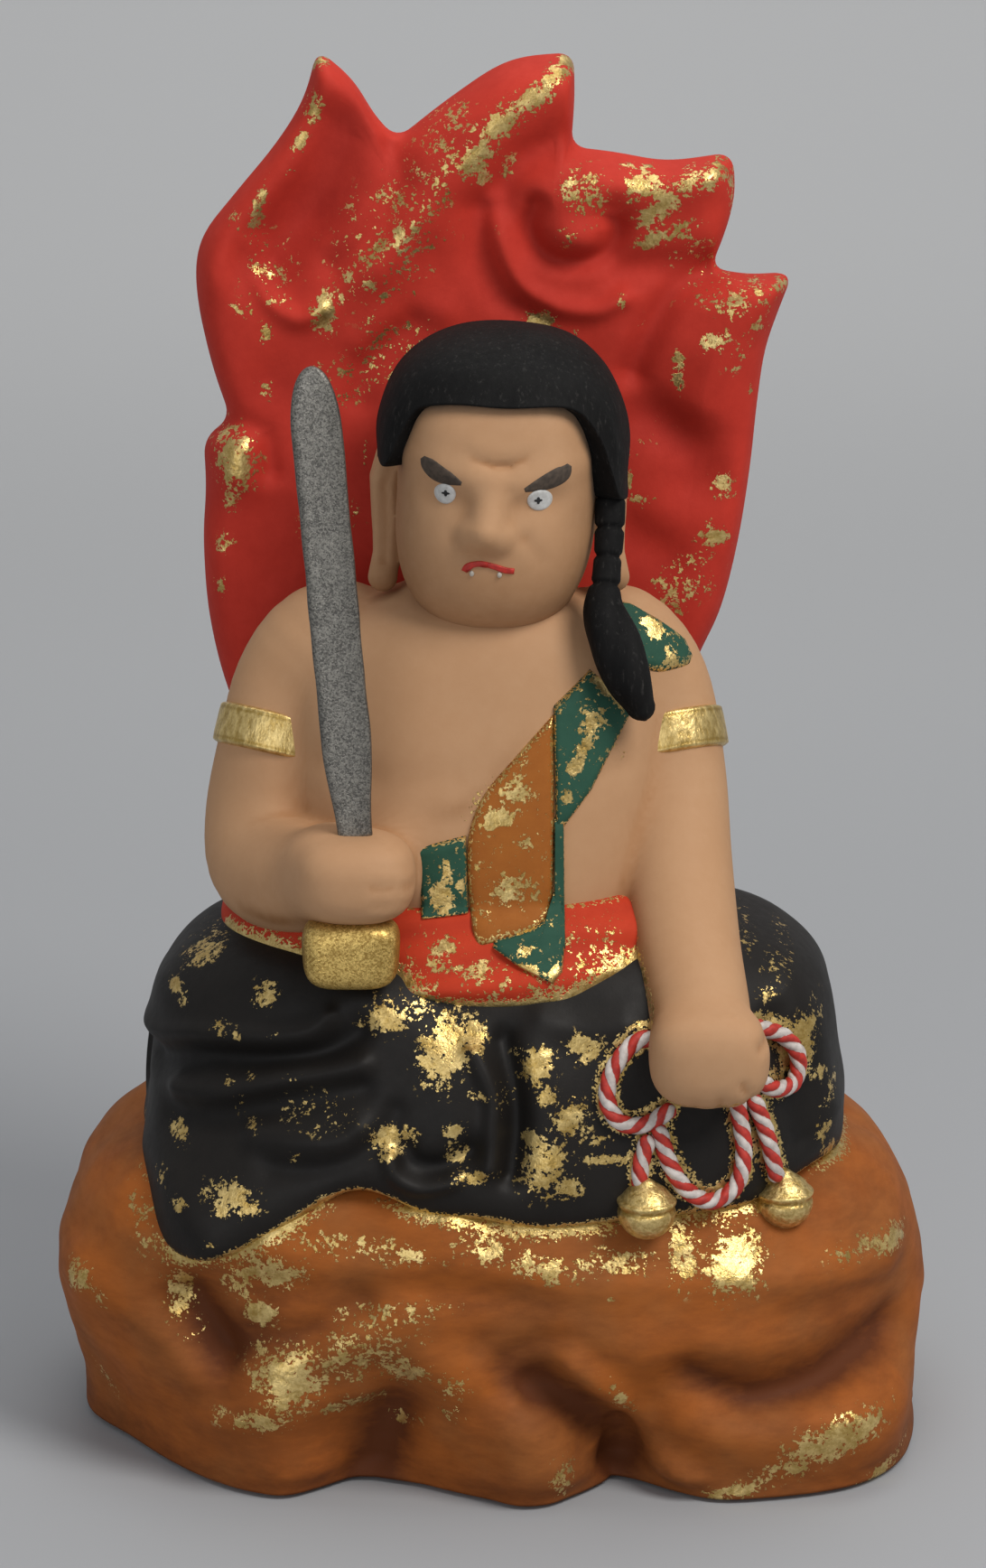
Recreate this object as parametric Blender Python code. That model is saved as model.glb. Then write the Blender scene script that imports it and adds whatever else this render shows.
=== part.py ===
"""Seated wrathful guardian deity in painted clay, built from separate fired pieces that are luted together.

The figure sits on a hollow rock pedestal before a flame halo. The halo stands on a tenon in the rock,
the head on a neck spigot in the torso, the torso in a socket in the skirt, and the sword lifts out of
a slot in the right fist.
Metres, +Z up, the figure faces -Y. The origin is at the middle of the pedestal's underside.
Right and left are the figure's own, so its right hand is at -X.
"""

import math

import bmesh
import bpy
from mathutils import Matrix, Vector
from mathutils.bvhtree import BVHTree

MM = 0.001
CLEARANCE = 0.3 * MM  # slip joint between neighbouring fired pieces
STROKE_LEAST = 3.4 * MM  # least half-width of a stroke of relief that the rings can carry
RELIEF_STEPS = 3  # rings between two lines of a profile where there is relief
FRONT_CROWDING = 0.45  # share by which the points of a ring stand closer in front

# Rock pedestal
ROCK_WIDTH = 157 * MM
ROCK_DEPTH = 108 * MM
ROCK_HEIGHT = 57 * MM
ROCK_WALL = 8 * MM
ROCK_TOP_WALL = 16 * MM
ROCK_SQUARENESS = 2.5
ROCK_SIDES = 108
ROCK_FACE_LINES = 7  # lines of the profile up to which the face has relief
FOOT_RISE = 0.6  # share of the height by which the foot's plan has passed into the upper plan
FOOT_FLANK = 3  # degrees to each side within which the hollow keeps its wall from the foot's notches
# Share of the full plan and of the full height, from the resting rim over the lip to the middle of the top
ROCK_PROFILE = (
    (0.945, 0.0), (0.97, 0.07), (0.985, 0.2), (1.0, 0.4), (0.99, 0.57), (0.96, 0.71),
    (0.905, 0.83), (0.82, 0.915), (0.68, 0.965), (0.45, 0.99), (0.16, 1.0),
)
# Valleys down the face: angle at the rim and drift to the lip in degrees, depth, half-width in degrees,
# low and high end
ROCK_VALLEYS = (
    (-117, 24, 7 * MM, 8, -0.8, 0.8),
    (-66, -30, 5 * MM, 8, -0.8, 0.9),
    (-136, 0, -3 * MM, 14, -0.8, 0.7),
    (-91, 0, -3 * MM, 16, -0.8, 0.7),
    (-43, 0, -4 * MM, 16, -0.8, 0.8),
    (-36, 6, 6 * MM, 13, 0.1, 0.75),
    (-146, 14, 4 * MM, 11, 0.3, 0.8),
    (168, -10, 6 * MM, 14, -0.5, 0.8),
    (112, 18, 7 * MM, 12, -0.5, 0.7),
    (62, -14, 6 * MM, 11, -0.5, 0.8),
    (14, 8, 5 * MM, 10, -0.5, 0.6),
)

# Plan of the foot on the ground: angle round the figure in degrees and reach in mm
ROCK_FOOT = (
    (-180, 73.6), (-169.6, 73.1), (-158.8, 68.7), (-149.4, 66.5), (-138.2, 65), (-130.5, 63.3),
    (-125, 61), (-122, 55),
    (-119.5, 49), (-116, 46.9), (-112.8, 46.5), (-106, 46.5), (-101, 47.4), (-91, 51), (-84.5, 54.4),
    (-78.8, 54.6),
    (-73.6, 52), (-65.7, 48.4), (-62.5, 47), (-59, 51), (-56, 58.5), (-52.5, 65), (-45.8, 70.5),
    (-36.8, 77.3),
    (-30.9, 80), (-25.5, 80.3), (-18.8, 79.5), (-8, 77.5), (0, 76.5), (30, 66), (60, 54), (90, 50),
    (120, 54),
    (150, 66), (180, 73.6),
)
# Ridges and hollows of the rock's face: points seen from the front, half-width and rise, in mm
ROCK_STROKES = (
    (((-33.4, 42.4), (-19.4, 43), (-7.1, 42.9), (2.2, 41.8), (14.5, 40.2),
      (26.9, 39.8), (39.3, 39.4), (55.4, 37.6), (69.2, 34.4)), 3, 1.1),
    (((-38.2, 36.1), (-25.6, 39.2), (-11.7, 39.2), (2.2, 37.5), (14.5, 35.7)), 4, -0.9),
    (((-51.8, 33.4), (-49.1, 27.9), (-47.7, 22.4), (-46.8, 17.4)), 4, -3.6),
    (((-46.8, 26.9), (-39.8, 28.4), (-31.9, 29.8), (-22.5, 36)), 3.6, -2.6),
    (((-69.2, 32.4), (-62.4, 29.8), (-55, 25.4), (-49.7, 19.1), (-46.9, 13.6)), 4.4, 1.8),
    (((-44.3, 16.5), (-35.2, 16.2), (-25.8, 18.9), (-16.5, 20.9), (-11.2, 24.8)), 4.6, 2),
    (((-33.5, 25.8), (-24.1, 29.4), (-14.8, 32.6)), 6.5, 1.6),
    (((-21.2, 0.7), (-18.3, 7.5), (-16.9, 13.4), (-15.6, 19.5)), 5, -2.8),
    (((-0.9, 28.3), (3.4, 24.6), (8.4, 21.7)), 4, -1.8),
    (((8.1, 21.4), (13.1, 18.7), (19.1, 13.3), (24.1, 9.5), (22.7, 2.8)), 4.2, -3),
    (((1.5, 21), (3.1, 26.3), (8.4, 29.7), (14.1, 29.7), (18, 26.9)), 2.6, -1),
    (((14.6, 25.1), (21.3, 18.8), (25.3, 13.9), (28.6, 8.4), (34.6, 2.8)), 3.2, 2.4),
    (((6.8, 13.1), (10, 7), (13.2, 1.7)), 6, 2.2),
    (((34.7, 23.4), (40.9, 19.9), (46.2, 18.5), (51.8, 19),
      (57.5, 20.2), (63.1, 21.6), (70.3, 23.1)), 4.2, -3.8),
    (((26.9, 27.1), (37.8, 27.1), (47.4, 25.9), (56.6, 26.7)), 5, 1.6),
    (((45.7, 32.3), (55.5, 32.7)), 9, 1.2),
    (((34.9, 14), (44.4, 11.6), (55.7, 11.6), (68.6, 10.9)), 5.5, 2.4),
    (((-4, 18.8), (-0.9, 10.8), (2.2, 5.4)), 7, 1.4),
    (((-74.5, 33), (-72.5, 32.3)), 5, 1.6),
    (((75.5, 35.4), (70.9, 39)), 5, 1.4),
    (((-38.5, 8.3), (-34, 1.9)), 8, 1.2),
    (((-38, 46.5), (-29, 51), (-18, 51), (-8, 48.5)), 5, 3),
)
RELIEF_FRONT = -30 * MM  # the relief of the rock's face is whole in front of this depth
RELIEF_END = -8 * MM  # and gone behind this one
RELIEF_FOOT = 4 * MM  # it starts at the ground and is whole from this height

# Skirt over the crossed legs
SKIRT_WIDTH = 126 * MM
SKIRT_FRONT = 47 * MM
SKIRT_BACK = 27 * MM
SKIRT_HEIGHT = 38 * MM
SKIRT_SIDES = 84
SKIRT_FOLD_LINES = (2, 7)  # lines of the profile between which the cloth has folds
# Share of the height above the hem, of the sideways reach and of the forward reach
SKIRT_PROFILE = (
    (0.0, 0.93, 0.94), (0.02, 0.985, 0.985), (0.12, 1.0, 1.0), (0.34, 0.985, 0.96), (0.56, 0.97, 0.9),
    (0.74, 0.93, 0.82), (0.87, 0.85, 0.74), (0.95, 0.73, 0.62), (1.0, 0.5, 0.42), (1.02, 0.15, 0.12),
)
# Corner of cloth that hangs over the rock's lip: angle and half-width in degrees, and reach
HEM_CORNER = (-140, 15, 8 * MM)
# Hem height below the rock's top, by angle round the figure in degrees
HEM_DROP = (
    (-180, 9 * MM), (-160, 12 * MM), (-139, 16 * MM), (-119, 2 * MM), (-104, 6 * MM), (-92, 6.5 * MM),
    (-78, 8.5 * MM),
    (-60, 7 * MM), (-42, 7 * MM), (-24, 4 * MM), (0, 7 * MM), (60, 6 * MM), (120, 6 * MM),
)

# Folds of the cloth: points seen from the front, half-width and rise, in mm
SKIRT_STROKES = (
    (((-59.8, 74.1), (-52.7, 77.6), (-45.1, 79.1), (-36.5, 80.2), (-31, 81.4), (-27.8, 84.2)), 1.7, 1.69),
    (((-60.6, 69.6), (-51, 74.5), (-39.7, 76.6), (-30.2, 78.6), (-23.2, 82.6)), 2.6, -2.47),
    (((-54.4, 67.8), (-47, 69.7), (-41.5, 71.4), (-33.3, 74.6), (-22.4, 77)), 2.2, 1.82),
    (((-56.1, 63.7), (-46.1, 66), (-34.9, 69.9), (-22.4, 73.3)), 2.6, -1.3),
    (((-40.5, 63.8), (-32.9, 63.8), (-25.9, 64.3), (-22.8, 66.3)), 2.6, 1.69),
    (((-38.1, 59.6), (-28.7, 60.7), (-19.4, 64.9), (-16.3, 69.7)), 2.2, -1.17),
    (((-17.5, 61.9), (-16.3, 58.8), (-12.3, 57.2), (-7.1, 58)), 1.5, 1.69),
    (((-15.1, 63.7), (-12.9, 61), (-8.6, 60.7), (-4, 62.9)), 2.4, -1.95),
    (((-2.8, 78.4), (-0.2, 71.9), (0, 66.8), (-0.5, 60.7)), 2, 2.21),
    (((2.2, 81.2), (3.7, 74.1), (4, 66.7), (3.1, 59.1)), 2.2, -2.47),
    (((6.8, 79.1), (8.9, 71.1), (9.8, 60.6)), 5, 1.56),
    (((8.3, 83.9), (14.5, 82.6), (22.2, 83.2)), 2.4, 1.04),
    (((-21, 86.7), (-14, 82.7), (-8.6, 75.7), (-6.3, 68.3)), 5, 1.43),
    (((-55.4, 53.9), (-49.2, 45.5), (-48.5, 39.5)), 4, 1.17),
    (((50.8, 85.6), (56.6, 75.3), (58.4, 62.1)), 3, 1.17),
    (((48.1, 81.2), (52.2, 71.2), (54, 59.8)), 2.6, -1.43),
    (((-57.6, 82.1), (-48, 87.7), (-36.6, 88)), 5, 1.04),
)
FOLD_FRONT = -14 * MM  # the folds are whole in front of this depth
FOLD_END = 4 * MM  # and gone behind this one

# Torso, as height above the lap with half-width and half-depth
TORSO_X = -2.5 * MM
TORSO_Y = -1 * MM
TORSO_SIDES = 28
TORSO_SECTIONS = (
    (-13 * MM, 22 * MM, 17 * MM), (-8 * MM, 28 * MM, 23 * MM), (0, 31 * MM, 26.5 * MM),
    (8 * MM, 32.5 * MM, 28 * MM),
    (18 * MM, 33 * MM, 27 * MM), (30 * MM, 33.5 * MM, 24.5 * MM), (41 * MM, 33 * MM, 21.5 * MM),
    (50 * MM, 28 * MM, 18.5 * MM), (55.5 * MM, 20 * MM, 15 * MM), (58.5 * MM, 12 * MM, 10 * MM),
)
LAP_SINK = 2 * MM  # the lap lies this far under the skirt's highest point

# Red waist sash, as height above the lap with half-width and half-depth
WAIST_SECTIONS = (
    (-12 * MM, 38 * MM, 27 * MM), (-8 * MM, 42 * MM, 30 * MM), (-5 * MM, 45 * MM, 32 * MM),
    (-2 * MM, 45.4 * MM, 32.4 * MM),
    (1 * MM, 45.2 * MM, 32.5 * MM), (5 * MM, 41 * MM, 31 * MM), (8 * MM, 34 * MM, 28.6 * MM),
)
# Apron let down over the lap: angle and half-width in degrees, reach, and the levels where it starts
# and is whole
WAIST_APRON = (-81, 36, 5.2 * MM, 4 * MM, -5 * MM)

# Head and neck
HEAD_X = 1 * MM
HEAD_Y = -2 * MM
HEAD_ABOVE_LAP = 77.5 * MM
HEAD_HALF_WIDTH = 17.2 * MM
HEAD_HALF_DEPTH = 21.5 * MM
HEAD_HALF_HEIGHT = 24 * MM
HEAD_SQUARENESS = 2.4
NECK_RADIUS = 10 * MM
NECK_SPIGOT = 10 * MM  # length of the spigot inside the torso
# Bumps of the face: sideways place, height, reach each way and how far it stands out,
# mirrored where off centre
FACE_BUMPS = (
    (0, -5 * MM, 3.6 * MM, 4.6 * MM, 3.6 * MM), (0, 1.5 * MM, 2.6 * MM, 4 * MM, 1.3 * MM),
    (8.5 * MM, 4.5 * MM, 5 * MM, 2.4 * MM, 1.2 * MM), (10.5 * MM, -8 * MM, 5 * MM, 5 * MM, 1.4 * MM),
    (0, -17 * MM, 6 * MM, 4 * MM, 1.3 * MM), (0, -12.6 * MM, 5 * MM, 1 * MM, -0.9 * MM),
)
EAR_LENGTH = 27 * MM
EAR_WIDTH = 11 * MM
EAR_THICKNESS = 5.4 * MM
EAR_DROP = 7 * MM
EAR_OUT = 2.2 * MM  # middle of the ear outside the side of the head

# Hair
HAIR_SIDE = 5 * MM  # thickness over the temples
HAIR_BACK = 3.2 * MM  # and over the back
HAIR_TOP = 2.8 * MM  # and over the crown
HAIR_SQUARENESS = 2.6
FRINGE_RISE = 17.2 * MM  # fringe above the middle of the head
FACE_OPENING = 33.5 * MM
TEMPLE_RISE = 4.5 * MM
NAPE_DROP = 10 * MM
EAR_LINE_DEPTH = 7 * MM
HAIRLINE_SLOPE = 8.0  # degrees, rising to the front
# Braid, from the temple over the left shoulder: place from the middle of the head, and radius
BRAID = (
    (15.5 * MM, 0, 18 * MM, 2.4 * MM), (17.8 * MM, -3 * MM, 11 * MM, 3.6 * MM),
    (18.7 * MM, -6.5 * MM, 3 * MM, 3.9 * MM),
    (18.6 * MM, -9 * MM, -6 * MM, 3.6 * MM), (18 * MM, -12 * MM, -14.5 * MM, 3.3 * MM),
    (18 * MM, -15 * MM, -20.5 * MM, 4.6 * MM), (20 * MM, -18 * MM, -26.5 * MM, 5.3 * MM),
    (23 * MM, -19.5 * MM, -33 * MM, 4.3 * MM), (25.6 * MM, -19.8 * MM, -39.5 * MM, 1.3 * MM),
)

# Arms: place above the lap, and radius
RIGHT_ARM = (
    (-22 * MM, 3 * MM, 51 * MM, 4 * MM), (-25.5 * MM, 3 * MM, 49.5 * MM, 8.5 * MM),
    (-30 * MM, 2.5 * MM, 46 * MM, 11.2 * MM),
    (-34.5 * MM, 2 * MM, 39 * MM, 11.4 * MM), (-37.5 * MM, -1 * MM, 30 * MM, 10.8 * MM),
    (-39.5 * MM, -4 * MM, 18 * MM, 11.2 * MM), (-39 * MM, -11 * MM, 11 * MM, 10.8 * MM),
    (-34 * MM, -21 * MM, 11 * MM, 9.4 * MM),
    (-28.5 * MM, -29 * MM, 14 * MM, 8 * MM),
)
LEFT_ARM = (
    (16 * MM, 3 * MM, 51 * MM, 4 * MM), (19.5 * MM, 3 * MM, 49.5 * MM, 8 * MM),
    (23.5 * MM, 2.5 * MM, 46 * MM, 10.4 * MM),
    (28 * MM, 1 * MM, 38.5 * MM, 10.6 * MM), (31 * MM, -4 * MM, 25 * MM, 10 * MM),
    (32 * MM, -13 * MM, 12 * MM, 9.8 * MM), (33.4 * MM, -25 * MM, 0, 9.4 * MM),
    (35.2 * MM, -35.5 * MM, -8 * MM, 8.8 * MM),
    (36 * MM, -40.5 * MM, -11.5 * MM, 8.2 * MM),
)
RIGHT_FIST = (-23.3 * MM, -36 * MM, 16 * MM)
RIGHT_FIST_SIZE = (21 * MM, 19 * MM, 15.5 * MM)
LEFT_HAND = (36.6 * MM, -45.5 * MM, -13 * MM)
LEFT_HAND_SIZE = (21 * MM, 14 * MM, 18 * MM)
KNUCKLE_GROOVE = 0.7 * MM
ARMLET_HEIGHT = 7.5 * MM
ARMLET_THICKNESS = 1 * MM
ARMLET_RISE = 31 * MM  # middle of the armlets above the lap

# Sword: a flat blade, lifted out along its own axis
BLADE_LENGTH = 80 * MM
BLADE_WIDTH = 8.4 * MM
BLADE_HEEL_WIDTH = 5.8 * MM
BLADE_THICKNESS = 3 * MM
BLADE_EDGE = 0.8 * MM
TANG_WIDTH = 4.6 * MM
TANG_LENGTH = 11 * MM
SWORD_LEAN = 4.8  # degrees to the figure's right
SWORD_TILT = 2.0  # degrees backwards
POMMEL_SIZE = (16.5 * MM, 11 * MM, 13 * MM)
POMMEL_ROUND = 4 * MM

# Chest sash: outlines as seen from the front, sideways place and height above the lap
SASH_THICKNESS = 1.5 * MM
SASH_PANEL = (
    (9.3 * MM, 41 * MM), (3.5 * MM, 34 * MM), (-2 * MM, 24 * MM), (-3.6 * MM, 14 * MM),
    (-3.6 * MM, 1 * MM),
    (8 * MM, 4 * MM), (9.9 * MM, 9 * MM), (9.9 * MM, 20 * MM), (9.3 * MM, 30 * MM),
)
SASH_FACING = (
    (16 * MM, 50 * MM), (25 * MM, 45.5 * MM), (23.5 * MM, 41 * MM), (12.6 * MM, 21 * MM),
    (10.6 * MM, 20 * MM),
    (10.1 * MM, 30 * MM), (9.7 * MM, 41 * MM),
)
SASH_TAIL = (
    (10.6 * MM, 19.6 * MM), (12.4 * MM, 19.6 * MM), (12.6 * MM, 1 * MM), (10.4 * MM, -5 * MM),
    (5.5 * MM, -3.8 * MM),
    (1.4 * MM, 0.6 * MM), (8.3 * MM, 3.4 * MM), (10.6 * MM, 8.6 * MM),
)
SASH_TUCK = ((-13.5 * MM, 19 * MM), (-5 * MM, 21 * MM), (-4.1 * MM, 7.5 * MM), (-13 * MM, 6.5 * MM))
SASH_SHOULDER = (
    (21 * MM, 58 * MM), (27 * MM, 57 * MM), (33.5 * MM, 52 * MM), (34.5 * MM, 47.5 * MM),
    (30.5 * MM, 43 * MM), (22 * MM, 44 * MM),
)

# Lasso of modelled rope lying on the skirt: sideways place and height above the lap
ROPE_RADIUS = 1.9 * MM
ROPE_SINK = 0.6 * MM
LASSO_LEFT_LOOP = (
    (28.2 * MM, -11.5 * MM), (24.4 * MM, -11.8 * MM), (20.6 * MM, -16 * MM), (19.4 * MM, -21 * MM),
    (21.6 * MM, -25 * MM),
    (26 * MM, -25.6 * MM), (29.8 * MM, -23.6 * MM),
)
LASSO_HANGING_LOOP = (
    (28.4 * MM, -27 * MM), (30 * MM, -32 * MM), (33 * MM, -37 * MM), (37.4 * MM, -39.6 * MM),
    (41.6 * MM, -37.4 * MM),
    (43 * MM, -32 * MM), (42.2 * MM, -25.5 * MM), (41.6 * MM, -22 * MM),
)
LASSO_RIGHT_LOOP = (
    (46 * MM, -12 * MM), (50.4 * MM, -14.6 * MM), (52.8 * MM, -18.4 * MM), (52 * MM, -22.6 * MM),
    (48.6 * MM, -22.6 * MM),
    (45.4 * MM, -20 * MM),
)
LASSO_LEFT_TAIL = ((26.2 * MM, -28.6 * MM), (25.2 * MM, -32 * MM), (25 * MM, -35 * MM))
LASSO_RIGHT_TAIL = ((45 * MM, -24 * MM), (47 * MM, -29.5 * MM), (48.8 * MM, -37 * MM))
BELL_RADIUS = 4.8 * MM
BELL_RIB = 0.5 * MM
LEFT_BELL = (26.2 * MM, -40 * MM)
RIGHT_BELL = (50.4 * MM, -43 * MM)

# Flame halo: outline seen from the front, sideways place and height above its shoulder line,
# with corners marked True
HALO_FRONT = 24.5 * MM
HALO_THICKNESS = 15 * MM
HALO_RISE = 112 * MM  # shoulder line above the pedestal's underside
HALO_CENTRE = (-3 * MM, 62 * MM)
FLAME = (
    (-31 * MM, 128.5 * MM, True), (-33.5 * MM, 120 * MM, False), (-38.5 * MM, 112 * MM, False),
    (-46 * MM, 103 * MM, False),
    (-52 * MM, 95 * MM, False), (-53 * MM, 86 * MM, False), (-50.6 * MM, 73 * MM, False),
    (-47.3 * MM, 62.6 * MM, True),
    (-52.3 * MM, 59 * MM, True), (-52 * MM, 50 * MM, False), (-52.6 * MM, 40 * MM, False),
    (-51.6 * MM, 25 * MM, False),
    (-47.5 * MM, 9 * MM, False), (-38 * MM, -12 * MM, False), (-30 * MM, -36 * MM, False),
    (-29 * MM, -72 * MM, True),
    (23 * MM, -72 * MM, True), (24 * MM, -36 * MM, False), (30 * MM, -8 * MM, False),
    (36.5 * MM, 15.5 * MM, False), (41.4 * MM, 27 * MM, False), (44.5 * MM, 40 * MM, False),
    (46.5 * MM, 54 * MM, False), (47.5 * MM, 65 * MM, False), (48.8 * MM, 75 * MM, False),
    (51 * MM, 82 * MM, False),
    (53.6 * MM, 89 * MM, True), (46 * MM, 88.6 * MM, False), (38.8 * MM, 89.8 * MM, True),
    (41.4 * MM, 96.5 * MM, False),
    (43 * MM, 103.5 * MM, False), (42.4 * MM, 110.4 * MM, True), (31 * MM, 109 * MM, False),
    (22 * MM, 110.4 * MM, False),
    (13.8 * MM, 111.4 * MM, True), (14.4 * MM, 120 * MM, False), (14.2 * MM, 128 * MM, True),
    (3 * MM, 126.6 * MM, False),
    (-7 * MM, 120.5 * MM, False), (-17 * MM, 112.8 * MM, True), (-21 * MM, 117 * MM, False),
    (-25 * MM, 123.4 * MM, False),
)
FLAME_STEPS = 3
# Ridges and hollows of the flames: points above the shoulder line seen from the front,
# half-width and rise, in mm
FLAME_STROKES = (
    (((-30.8, 127.8), (-33.4, 117.1), (-39.2, 106.8), (-46.4, 98.8), (-49.7, 90.1)), 4.6, 1.84),
    (((-27.6, 114.3), (-31.2, 105.5), (-35.3, 97.4), (-39.4, 92.4)), 6.6, -4.83),
    (((-34.5, 100.7), (-39.4, 94.1)), 7.5, -2.3),
    (((-42.6, 94.7), (-41.9, 88.9), (-39, 84.3), (-34.4, 82.1), (-30.5, 83.5)), 1.9, 1.84),
    (((-17.8, 111.6), (-16.8, 106.5), (-18.8, 100.3), (-22.9, 94.3), (-27.8, 90.9)), 3, -2.53),
    (((11.7, 125.3), (2.2, 119), (-6.5, 109), (-12.1, 102), (-20.9, 92.3)), 6.4, 3.22),
    (((12.5, 114.2), (7, 111.3), (3, 107.3), (0.3, 103)), 3.6, -2.76),
    (((14, 96.6), (15, 96.4)), 4.2, 3.45),
    (((20.7, 100.9), (21.9, 97.5), (19.4, 93.4), (14.3, 91.8),
      (8.9, 93.3), (6.7, 98.1), (7.7, 102.1)), 2.2, -3.22),
    (((-0.2, 102.5), (1, 96.4), (3, 91), (6.7, 86.6), (12.2, 83.8), (18.6, 83.4), (23.1, 85.3)), 2, 1.95),
    (((-2.9, 101), (-1.8, 92.8), (1.6, 86.2), (7.1, 82.4)), 3.2, -2.07),
    (((40.6, 109.3), (32.5, 106.2), (24.5, 105.5), (16.6, 105.5), (10.2, 103.8)), 4.8, 2.76),
    (((23, 90.7), (29.4, 91.2), (36.6, 91.9)), 3.4, -2.53),
    (((38.4, 89.5), (32.7, 87), (28.3, 80.3), (24.8, 72.7)), 3, -3.22),
    (((51.1, 88), (44.8, 82.3), (40.8, 76), (37.7, 66.3)), 4.6, 2.53),
    (((28.4, 64.6), (34.6, 59.7), (37.1, 52.9)), 5.4, -2.99),
    (((-45, 59.1), (-46.1, 54.5)), 4.6, 3.22),
    (((-47.2, 62.4), (-41.4, 61.1), (-39.8, 54.6)), 2.4, -2.3),
    (((-14.6, 81.5), (-21.9, 74.1), (-24.2, 67.6)), 3.2, -1.84),
    (((-9, 83), (-17, 82.3), (-23.5, 77.3)), 3, 1.03),
    (((46.9, 54.4), (44.2, 39.9)), 3.6, 1.26),
    (((25.1, 43), (31.6, 38)), 5, -1.38),
    (((-50.7, 37.3), (-49.5, 25.5)), 4, 1.15),
    (((-39.6, 71), (-34.9, 62.8)), 6, -1.38),
)
# Share of the outline and of the half-thickness, from the middle of the back round the edge
# to the middle of the front
HALO_RINGS = (
    (0.12, 1.0), (0.55, 1.0), (0.86, 0.92), (0.965, 0.55), (1.0, 0.0), (0.985, -0.4), (0.955, -0.7),
    (0.915, -0.88),
    (0.865, -0.97), (0.81, -1.0), (0.755, -1.0), (0.7, -1.0), (0.645, -1.0), (0.59, -1.0),
    (0.535, -1.0), (0.48, -1.0),
    (0.42, -1.0), (0.36, -1.0), (0.3, -1.0), (0.23, -1.0), (0.15, -1.0), (0.06, -1.0),
)
STEM_WIDTH = 30 * MM
STEM_THICKNESS = 10 * MM
TENON_DEPTH = 10 * MM

# Painted finishes: base colour, roughness and metallic value
FINISHES = {
    "clay_flesh": ((0.56, 0.33, 0.18), 0.75, 0.0),
    "clay_black": ((0.02, 0.019, 0.02), 0.6, 0.0),
    "clay_red": ((0.55, 0.02, 0.02), 0.7, 0.0),
    "clay_orange": ((0.45, 0.13, 0.03), 0.7, 0.0),
    "clay_green": ((0.02, 0.1, 0.07), 0.7, 0.0),
    "hair_black": ((0.015, 0.015, 0.016), 0.65, 0.0),
    "gold_paint": ((0.55, 0.38, 0.1), 0.4, 0.9),
    "silver_paint": ((0.25, 0.26, 0.28), 0.45, 0.6),
    "rope_paint": ((0.75, 0.7, 0.68), 0.6, 0.0),
}

LAP = ROCK_HEIGHT + SKIRT_HEIGHT - LAP_SINK
HEAD = Vector((HEAD_X, HEAD_Y, LAP + HEAD_ABOVE_LAP))
FAR = 200 * MM  # reach of cutters that only have to pass right through


def clear_scene():
    for thing in list(bpy.data.objects):
        bpy.data.objects.remove(thing)


def make_collection(name):
    made = bpy.data.collections.new(name)
    bpy.context.scene.collection.children.link(made)
    return made


clear_scene()
PARTS = make_collection("guardian_deity_statue")
CUTTERS = make_collection("cutters")
ROOT = bpy.data.objects.new("statue", None)
PARTS.objects.link(ROOT)
RAW = {}  # each piece's shape before its neighbours are cut out of it


def make_finish(name):
    colour, roughness, metallic = FINISHES[name]
    finish = bpy.data.materials.new(name)
    finish.use_nodes = True
    shader = finish.node_tree.nodes["Principled BSDF"]
    shader.inputs["Base Color"].default_value = (*colour, 1)
    shader.inputs["Roughness"].default_value = roughness
    shader.inputs["Metallic"].default_value = metallic
    return finish


MATERIALS = {name: make_finish(name) for name in FINISHES}


def add_mesh(name, mesh, collection):
    thing = bpy.data.objects.new(name, mesh)
    collection.objects.link(thing)
    return thing


def mesh_from(bm, name):
    bmesh.ops.recalc_face_normals(bm, faces=bm.faces)
    mesh = bpy.data.meshes.new(name)
    bm.to_mesh(mesh)
    bm.free()
    return mesh


def add_part(name, mesh, finish):
    """A named piece of the statue, with its uncut shape kept for the neighbours that seat on it."""
    RAW[name] = mesh.copy()
    mesh.materials.append(MATERIALS[finish])
    mesh.shade_smooth()
    piece = add_mesh(name, mesh, PARTS)
    piece.parent = ROOT
    return piece


def add_cutter(name, mesh):
    cutter = add_mesh(name, mesh, CUTTERS)
    cutter.hide_render = True
    cutter.display_type = "WIRE"
    return cutter


def grown_mesh(name, distance):
    """The uncut shape of a piece with its skin moved out along the normals."""
    mesh = RAW[name].copy()
    bm = bmesh.new()
    bm.from_mesh(mesh)
    bm.normal_update()
    places = [v.co + v.normal * distance for v in bm.verts]
    for vertex, place in zip(bm.verts, places):
        vertex.co = place
    bm.to_mesh(mesh)
    bm.free()
    return mesh


def boolean(piece, operation, cutter):
    modifier = piece.modifiers.new(cutter.name, "BOOLEAN")
    modifier.operation = operation
    modifier.object = cutter


def seat(piece, *neighbours):
    """Cuts the neighbours' shapes out of a piece, with the slip joint's clearance all round."""
    for name in neighbours:
        cutter_name = "room_for_" + name
        cutter = bpy.data.objects.get(cutter_name) or add_cutter(cutter_name, grown_mesh(name, CLEARANCE))
        boolean(piece, "DIFFERENCE", cutter)


def skin(rings):
    """A closed mesh lofted through rings of equal point counts, with a face at each end."""
    bm = bmesh.new()
    loops = [[bm.verts.new(point) for point in ring] for ring in rings]
    for low, high in zip(loops, loops[1:]):
        for i in range(len(low)):
            j = (i + 1) % len(low)
            bm.faces.new((low[i], low[j], high[j], high[i]))
    bm.faces.new(loops[0])
    bm.faces.new(loops[-1])
    return bm


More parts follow.
